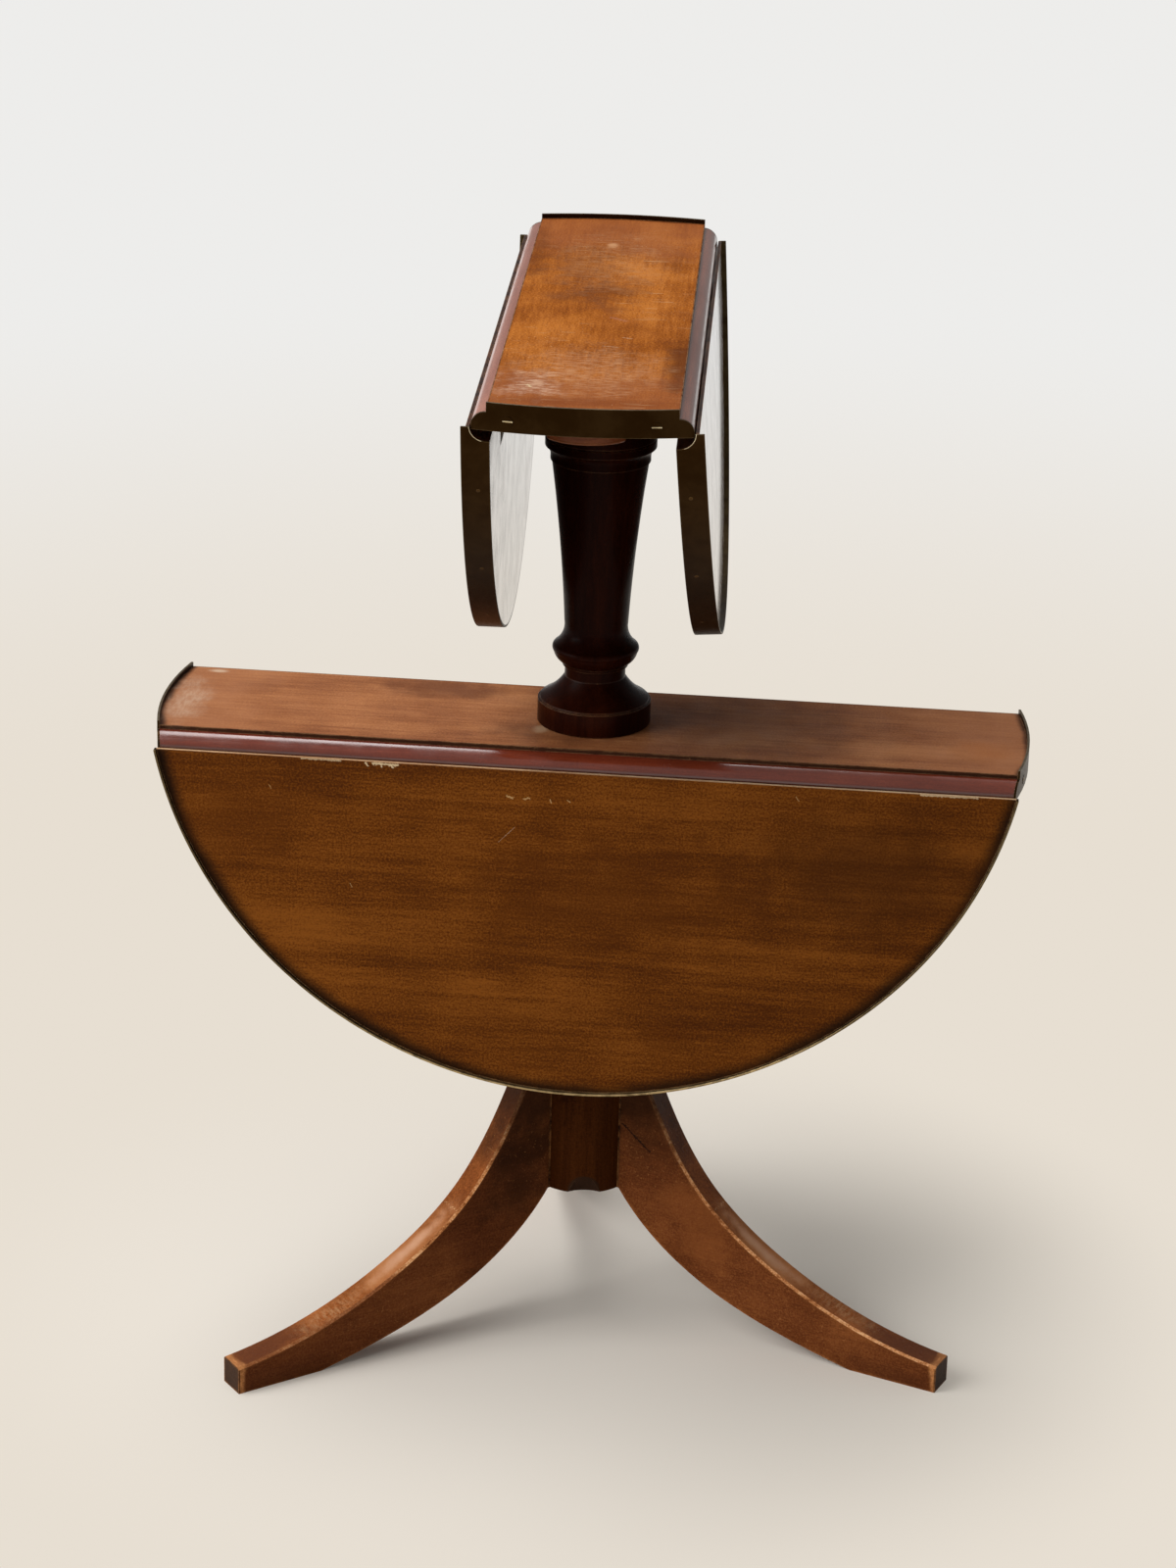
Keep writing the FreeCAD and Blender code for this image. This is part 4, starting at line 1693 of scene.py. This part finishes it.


# Finishes of this table


SCRATCH: Colour = (0.62, 0.42, 0.26)
CREAM: Colour = (0.66, 0.50, 0.30)
GOLDEN: Colour = (0.50, 0.30, 0.12)
SOOT: Colour = (0.012, 0.005, 0.003)
RUBBED_EDGE = Mahogany(
    "rubbed_edge", (0.07, 0.018, 0.005), (0.16, 0.05, 0.015), (0.34, 0.14, 0.05), spread=0.12, sheen=0.1,
)
CREAM_EDGE = Mahogany(
    "cream_edge", (0.40, 0.20, 0.09), (0.62, 0.42, 0.25), (0.80, 0.62, 0.40), spread=0.10, sheen=0.05,
)
# Painted shade: near-black wood on the leaf's cove, for the dark gap beside the moulding.
COVE_PAINTED_SHADE = Mahogany(
    "cove_polish_painted_shade", (0.006, 0.0015, 0.0006), (0.014, 0.0035, 0.0014), (0.03, 0.008, 0.003),
    sheen=0.05, edge_wear=0.0, specks=0.0, scratches=0.0,
)
UPPER_BOARD_WOOD = Mahogany(
    "upper_board_polish", (0.20, 0.050, 0.006), (0.35, 0.100, 0.013), (0.52, 0.175, 0.030),
    streaks=0.18, figure=0.14, flecks=0.38, spread=0.070, roughness=0.42, sheen=0.006, specks=0.8,
    scratches=0.5, worn=(0.62, 0.38, 0.20),
    rim=0.2619, rim_width=0.006, rim_colour=(0.06, 0.014, 0.004), joint_at=0.060,
    end_from=0.12, end_colour=(0.30, 0.092, 0.034), end_share=0.6,
    patches=(
        Patch((0.043, -0.004, 0.0), (0.046, 0.034, 0.01), (0.14, 0.038, 0.010), 0.55, core=0.1, ragged=0.5),
        Patch((0.030, 0.026, 0.0), (0.030, 0.024, 0.01), (0.15, 0.042, 0.012), 0.45, core=0.1, ragged=0.5),
        Patch((0.110, 0.020, 0.0), (0.070, 0.036, 0.01), (0.16, 0.045, 0.013), 0.45, core=0.1, ragged=0.5),
        Patch((-0.002, -0.006, 0.0), (0.016, 0.014, 0.01), (0.16, 0.045, 0.015), 0.5),
        Patch((-0.140, -0.056, 0.0), (0.110, 0.014, 0.01), (0.09, 0.022, 0.006), 0.7),
        Patch((0.150, 0.056, 0.0), (0.100, 0.012, 0.01), (0.12, 0.030, 0.008), 0.5),
        Patch((0.180, 0.004, 0.0), (0.012, 0.006, 0.01), (0.60, 0.32, 0.16), 0.7),
        Patch((-0.200, 0.036, 0.0), (0.045, 0.026, 0.01), (0.66, 0.44, 0.32), 0.6, ragged=0.5, broken=0.9),
        Patch((-0.165, 0.0, 0.0), (0.090, 0.070, 0.01), (0.62, 0.34, 0.18), 0.45, ragged=0.3, broken=1.0),
        Patch((0.120, 0.0, 0.0), (0.120, 0.060, 0.01), (0.52, 0.28, 0.14), 0.3, ragged=0.3, broken=1.0),
        Patch((-0.238, 0.0, 0.0), (0.016, 0.090, 0.01), (0.20, 0.050, 0.014), 0.6, ragged=0.2),
    ),
    marks=(
        Mark((-0.077, -0.016, 0.0), (-0.079, -0.022, 0.0), 0.0012, SCRATCH, 0.7),
        Mark((-0.100, -0.004, 0.0), (-0.102, -0.014, 0.0), 0.0014, SCRATCH, 0.5),
        Mark((-0.026, -0.006, 0.0), (-0.034, -0.016, 0.0), 0.0040, (0.42, 0.18, 0.12), 0.4),
        Mark((-0.201, 0.038, 0.0), (-0.205, 0.036, 0.0), 0.0024, CREAM, 0.8),
    ),
)
LOWER_BOARD_WOOD = Mahogany(
    "lower_board_polish", (0.20, 0.064, 0.024), (0.33, 0.122, 0.045), (0.46, 0.190, 0.074),
    streaks=0.24, figure=0.22, flecks=0.28, spread=0.085, roughness=0.42, sheen=0.04, specks=0.3,
    scratches=0.1, rim=0.3034, rim_width=0.005, rim_colour=(0.03, 0.010, 0.005), joint_at=0.062,
    end_from=0.20, end_colour=(0.38, 0.155, 0.07), end_share=0.5,
    patches=(
        Patch((-0.110, 0.045, 0.0), (0.075, 0.030, 0.01), (0.13, 0.040, 0.016), 0.75),
        # Painted shadow: darker right of the column, where the column and the upper tier shade the board.
        Patch((0.110, 0.0, 0.0), (0.110, 0.080, 0.01), (0.11, 0.044, 0.022), 0.40),
        Patch((-0.020, -0.030, 0.0), (0.070, 0.030, 0.01), (0.13, 0.045, 0.018), 0.6),
        Patch((0.275, -0.020, 0.0), (0.030, 0.030, 0.01), (0.40, 0.14, 0.045), 0.5),
        Patch((-0.288, -0.008, 0.0), (0.020, 0.060, 0.01), (0.56, 0.38, 0.26), 0.6, core=0.1, broken=0.5),
        Patch((-0.277, 0.055, 0.0), (0.010, 0.005, 0.01), (0.62, 0.44, 0.30), 0.8, ragged=0.1),
        Patch((-0.034, -0.026, 0.0), (0.008, 0.010, 0.01), (0.45, 0.30, 0.18), 0.6),
    ),
)
MOULDING_WOOD = Mahogany(
    "moulding_polish", (0.105, 0.016, 0.006), (0.185, 0.031, 0.012), (0.26, 0.054, 0.022),
    streaks=0.2, figure=0.5, roughness=0.18, sheen=0.9, specks=0.0, scratches=0.0, edge_wear=0.0,
    wave=0.00001, grain_depth=0.000005,
    # Painted shade: joint_at draws a dark line at the foot of the ovolo, beside the leaf's cove.
    joint_at=0.0722, rim_colour=(0.030, 0.005, 0.002),
)
UPPER_MOULDING_WOOD = replace(
    MOULDING_WOOD, name="upper_moulding_polish", dark=(0.16, 0.040, 0.020), middle=(0.27, 0.080, 0.045),
    # Painted shade: joint_at draws a dark line at the foot of the ovolo, beside the leaf's cove.
    light=(0.40, 0.15, 0.095), roughness=0.12, sheen=0.5, joint_at=0.0702, rim_colour=(0.06, 0.012, 0.006),
)
LEAF_WOOD = Mahogany(
    "lower_leaf_polish", (0.070, 0.017, 0.0018), (0.142, 0.039, 0.0032), (0.235, 0.072, 0.008),
    streaks=0.18, figure=0.26, flecks=0.40, spread=0.075, roughness=0.36, sheen=0.04, specks=0.08,
    scratches=0.0, rim=0.3034, rim_width=0.011,
    patches=(
        Patch((0.063, -0.257, 0.0), (0.026, 0.016, 0.01), (0.07, 0.015, 0.001), 0.35, core=0.3),
        Patch((-0.240, -0.110, 0.0), (0.060, 0.050, 0.01), (0.09, 0.022, 0.002), 0.4),
        # Painted shade: darker over the right part of the leaf.
        Patch((0.200, -0.125, 0.0), (0.130, 0.070, 0.01), (0.060, 0.016, 0.002), 0.65, core=0.1, ragged=0.2),
        Patch((0.020, -0.150, 0.0), (0.150, 0.060, 0.01), (0.085, 0.021, 0.002), 0.5, core=0.1, ragged=0.4),
    ),
    marks=(
        Mark((-0.150, -0.0638, 0.0), (-0.149, -0.0655, 0.0), 0.0016, CREAM, 0.9),
        Mark((-0.145, -0.0636, 0.0), (-0.128, -0.0642, 0.0), 0.0022, CREAM, 0.9),
        Mark((-0.140, -0.0636, 0.0), (-0.139, -0.0662, 0.0), 0.0014, CREAM, 0.9),
        Mark((-0.133, -0.0640, 0.0), (-0.131, -0.0660, 0.0), 0.0014, CREAM, 0.9),
        Mark((-0.195, -0.0630, 0.0), (-0.168, -0.0632, 0.0), 0.0014, CREAM, 0.7),
        Mark((-0.052, -0.0822, 0.0), (-0.048, -0.0830, 0.0), 0.0018, GOLDEN, 0.85),
        Mark((-0.040, -0.0834, 0.0), (-0.036, -0.0826, 0.0), 0.0015, GOLDEN, 0.8),
        Mark((-0.022, -0.0826, 0.0), (-0.021, -0.0850, 0.0), 0.0010, GOLDEN, 0.8),
        Mark((-0.010, -0.0824, 0.0), (-0.008, -0.0836, 0.0), 0.0010, GOLDEN, 0.7),
        Mark((0.1470, -0.0700, 0.0), (0.1490, -0.0726, 0.0), 0.0009, GOLDEN, 0.6),
        Mark((0.2320, -0.0630, 0.0), (0.2700, -0.0630, 0.0), 0.0016, CREAM, 0.8),
        Mark((-0.057, -0.1163, 0.0), (-0.046, -0.1047, 0.0), 0.0006, SCRATCH, 0.35),
        Mark((-0.2180, -0.0840, 0.0), (-0.2165, -0.0865, 0.0), 0.0008, GOLDEN, 0.5),
        Mark((-0.1610, -0.1541, 0.0), (-0.1595, -0.1570, 0.0), 0.0007, GOLDEN, 0.6),
    ),
)
UPPER_LEAF_WOOD = Mahogany(
    "upper_leaf_polish", (0.09, 0.026, 0.007), (0.155, 0.050, 0.015), (0.23, 0.082, 0.028),
    roughness=0.16, sheen=0.5, coat=0.7, coat_roughness=0.06, wave=0.00002, grain_depth=0.00001, rim=0.2619,
)
COLUMN_WOOD = Mahogany(
    "column_polish", (0.009, 0.0014, 0.0005), (0.019, 0.0034, 0.0011), (0.036, 0.0070, 0.0022),
    grain=Grain.UPRIGHT, roughness=0.28, sheen=0.03, edge_wear=0.2, worn=(0.12, 0.035, 0.012), specks=0.05,
    scratches=0.05, patches=(
        # Painted highlight: paler on the left of the collar's rim.
        Patch((-0.030, -0.024, 0.468), (0.012, 0.016, 0.010), (0.06, 0.012, 0.003), 0.2),
    ),
)
COLUMN_EDGE = Mahogany(
    "column_edge", (0.010, 0.002, 0.0008), (0.028, 0.008, 0.003), (0.09, 0.028, 0.010),
    grain=Grain.UPRIGHT, sheen=0.1,
)
BLOCK_RADIUS = 0.036
BLOCK_FOOT = 0.098
BETWEEN_LEGS = tuple(math.radians(bearing) for bearing in (38.5, 158.5, 278.5))
BLOCK_WOOD = Mahogany(
    "block_polish", (0.026, 0.0062, 0.0013), (0.044, 0.0115, 0.0024), (0.068, 0.019, 0.004),
    grain=Grain.UPRIGHT, flecks=0.3, roughness=0.38, sheen=0.01, edge_wear=0.2,
    patches=(
        Patch((0.0, 0.0, 0.34), (0.12, 0.12, 0.19), (0.014, 0.003, 0.001), 0.95, core=0.7),
        *(Patch((BLOCK_RADIUS * math.cos(a), BLOCK_RADIUS * math.sin(a), BLOCK_FOOT), (0.013, 0.013, 0.0145),
                (0.030, 0.016, 0.010), 0.85, core=0.85, ragged=0.05)
          for a in BETWEEN_LEGS),
    ),
)
# Painted shadow: the legs' shoulders darker where the hanging leaves shade them.
SHOULDER_PAINTED_SHADOW = Patch((0.058, 0.0, 0.205), (0.090, 0.060, 0.115), (0.024, 0.007, 0.002), 0.85, core=0.3,
                      ragged=0.15)
JOINT_DIRT = Patch((0.0343, 0.0, 0.150), (0.0024, 0.040, 0.20), SOOT, 0.9, core=0.5, ragged=0.1)
TOE_DIRT = Patch((0.2925, 0.0, 0.010), (0.0035, 0.040, 0.040), (0.026, 0.012, 0.007), 0.95, core=0.8,
                 ragged=0.1)
TOE_WEAR = Patch((0.2890, 0.0, 0.015), (0.0048, 0.040, 0.024), (0.62, 0.26, 0.09), 0.9, core=0.35,
                 ragged=0.35, broken=0.45)
LEG_WOOD = Mahogany(
    "leg_polish", (0.080, 0.020, 0.005), (0.146, 0.041, 0.011), (0.235, 0.074, 0.020),
    streaks=0.12, figure=0.16, flecks=0.36, pores=0.5, roughness=0.34, sheen=0.03, edge_wear=0.5,
    edge_reach=0.0036, worn=(0.52, 0.21, 0.065), specks=0.25, scratches=0.2,
    patches=(
        SHOULDER_PAINTED_SHADOW,
        JOINT_DIRT,
        # Painted shade: darker on the leg's +Y side near its root, under the hanging leaf.
        Patch((0.062, 0.013, 0.115), (0.050, 0.012, 0.055), (0.026, 0.008, 0.0025), 0.65),
        # Painted light: paler on the leg's -Y side at mid-length.
        Patch((0.105, -0.013, 0.085), (0.050, 0.012, 0.045), (0.30, 0.095, 0.024), 0.35, ragged=0.4),
        Patch((0.2600, 0.0, 0.004), (0.060, 0.040, 0.016), (0.060, 0.016, 0.006), 0.5),
        TOE_WEAR,
        TOE_DIRT,
    ),
    marks=(Mark((0.0380, -0.011, 0.1500), (0.0600, -0.011, 0.1330), 0.0018, SOOT, 0.85),),
)
# Paler copy of the leg wood for the legs' upward faces: painted light from above, with wear and scratches.
LEG_TOP_PAINTED_LIGHT = replace(
    LEG_WOOD, name="leg_top_polish_painted_light", dark=(0.16, 0.042, 0.010), middle=(0.28, 0.080, 0.018),
    light=(0.42, 0.135, 0.038), roughness=0.24, sheen=0.08, edge_wear=0.35, specks=0.5,
    patches=(
        # Painted highlights: pale glare along the top at mid-length.
        Patch((0.154, 0.0, 0.078), (0.060, 0.018, 0.050), (0.52, 0.21, 0.080), 0.85, core=0.3),
        Patch((0.150, 0.0, 0.082), (0.045, 0.008, 0.040), (0.70, 0.42, 0.27), 0.6, core=0.2),
        Patch((0.262, 0.0, 0.032), (0.052, 0.040, 0.040), (0.105, 0.030, 0.012), 0.75, core=0.3),
        Patch((0.220, 0.0, 0.047), (0.045, 0.014, 0.030), (0.55, 0.30, 0.14), 0.5, broken=1.0, ragged=0.4),
        SHOULDER_PAINTED_SHADOW,
        TOE_WEAR,
    ),
    marks=(Mark((0.1120, -0.011, 0.0975), (0.1120, 0.011, 0.0975), 0.0020, (0.62, 0.34, 0.16), 0.8),),
)
LEG_EDGE = Mahogany(
    "leg_ridge", (0.20, 0.056, 0.014), (0.54, 0.210, 0.070), (0.84, 0.46, 0.22), flecks=0.3, spread=0.07,
    roughness=0.34, sheen=0.1, edge_wear=0.0,
    patches=(
        # Painted shade: the ridge darker on the leg's +Y side towards the toe.
        Patch((0.225, 0.013, 0.045), (0.090, 0.012, 0.060), (0.20, 0.060, 0.022), 0.6, core=0.5),
        SHOULDER_PAINTED_SHADOW,
        JOINT_DIRT,
        TOE_WEAR,
    ),
)
BEARER_WOOD = Mahogany(
    "bearer_polish", (0.11, 0.030, 0.010), (0.20, 0.060, 0.020), (0.30, 0.10, 0.035),
    roughness=0.4, sheen=0.2, edge_wear=0.4,
)
BAND_BRASS = Metal("band_patina", (0.022, 0.0095, 0.0022), (0.034, 0.0165, 0.0050), (0.30, 0.20, 0.09))
BAND_SCREW = replace(BAND_BRASS, name="band_screw_patina", edge_wear=0.0)
BAND_EDGE = Metal(
    "band_edge_brass", (0.05, 0.030, 0.012), (0.10, 0.065, 0.03), (0.52, 0.42, 0.27), polished=0.2,
)
# Painted highlight: pale brass on the band's edge along the cove, for its lit edge.
COVE_EDGE_HIGHLIGHT = Metal("cove_edge_brass_painted_highlight", (0.55, 0.44, 0.26), (0.70, 0.58, 0.38), (0.90, 0.78, 0.54), polished=0.8)
# Polished lip, partly rubbed wear and partly a painted highlight that is brightest near the middle of the rim,
# which hangs lowest.
RIM_EDGE_HIGHLIGHT = Metal(
    "rim_edge_brass_painted_highlight", (0.026, 0.014, 0.005), (0.05, 0.030, 0.012), (0.60, 0.44, 0.22), polished=0.8,
    painted_highlight_within=0.12,
)
DULL_RIM_EDGE = Metal(
    "dull_rim_edge_brass", (0.026, 0.013, 0.004), (0.05, 0.028, 0.010), (0.30, 0.22, 0.10), polished=0.15,
)
# Painted highlight: pale brass inside the slots, so that they read as bright lines.
SLOT_HIGHLIGHT_BRASS = Metal("slot_brass_painted_highlight", (0.55, 0.44, 0.26), (0.85, 0.72, 0.46), (0.96, 0.86, 0.64), roughness=0.5)
FIXING_BRASS = Metal("fixing_patina", (0.050, 0.024, 0.008), (0.085, 0.045, 0.015), (0.4, 0.26, 0.12))
HIDDEN_BRASS = Metal(
    "hidden_screw_patina", (0.14, 0.09, 0.04), (0.22, 0.15, 0.07), (0.5, 0.36, 0.17), drawn=False,
)
HINGE_BRASS = Metal("hinge_patina", (0.14, 0.095, 0.04), (0.24, 0.17, 0.08), (0.55, 0.42, 0.22), drawn=False)
IRON = Metal("iron_dull", (0.07, 0.065, 0.06), (0.12, 0.10, 0.085), (0.35, 0.34, 0.33), drawn=False)


# The build


def main() -> None:
    """Builds the sub-assemblies in order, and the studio."""
    logging.basicConfig(level=logging.INFO, format="%(name)s: %(message)s")
    brasses = Brasses(
        band=BAND_BRASS.material(), band_edge=BAND_EDGE.material(), cove_highlight=COVE_EDGE_HIGHLIGHT.material(),
        band_screw=BAND_SCREW.material(), fixing=FIXING_BRASS.material(), slot=SLOT_HIGHLIGHT_BRASS.material(),
        hinge=HINGE_BRASS.material(), rims={"lower": RIM_EDGE_HIGHLIGHT.material(), "upper": DULL_RIM_EDGE.material()},
    )
    hidden, iron = HIDDEN_BRASS.material(), IRON.material()
    Pedestal().build(
        column=(COLUMN_WOOD.material(), COLUMN_EDGE.material()),
        block=(BLOCK_WOOD.material(), COLUMN_EDGE.material()),
        leg=(LEG_WOOD.material(), LEG_EDGE.material(), LEG_TOP_PAINTED_LIGHT.material()),
        bearer=(BEARER_WOOD.material(), RUBBED_EDGE.material()), hidden=hidden, iron=iron,
    )
    lower = Tier(
        "lower", Body.LOWER_TOP, radius=0.305, half_width=0.062, height=0.451, angle=0.0,
        ends={"left": -1, "right": 1}, leaves=(Leaf("front", -1), Leaf("back", 1)),
        board_finishes=(LOWER_BOARD_WOOD, RUBBED_EDGE, MOULDING_WOOD),
        leaf_finishes=(LEAF_WOOD, CREAM_EDGE, COVE_PAINTED_SHADE),
    )
    lower.build(brasses)
    upper = Tier(
        "upper", Body.UPPER_TOP, radius=0.2635, half_width=0.060, height=0.7475, angle=92.5,
        ends={"front": -1, "back": 1}, leaves=(Leaf("right", -1, splay=4.0), Leaf("left", 1)),
        board_finishes=(UPPER_BOARD_WOOD, RUBBED_EDGE, UPPER_MOULDING_WOOD),
        leaf_finishes=(UPPER_LEAF_WOOD, COLUMN_EDGE, COVE_PAINTED_SHADE),
    )
    upper.build(brasses)
    dress_node("pivot_plate", iron)
    dress_node("pivot_plate_screws", hidden)
    Studio().build()


if __name__ == "__main__":
    main()
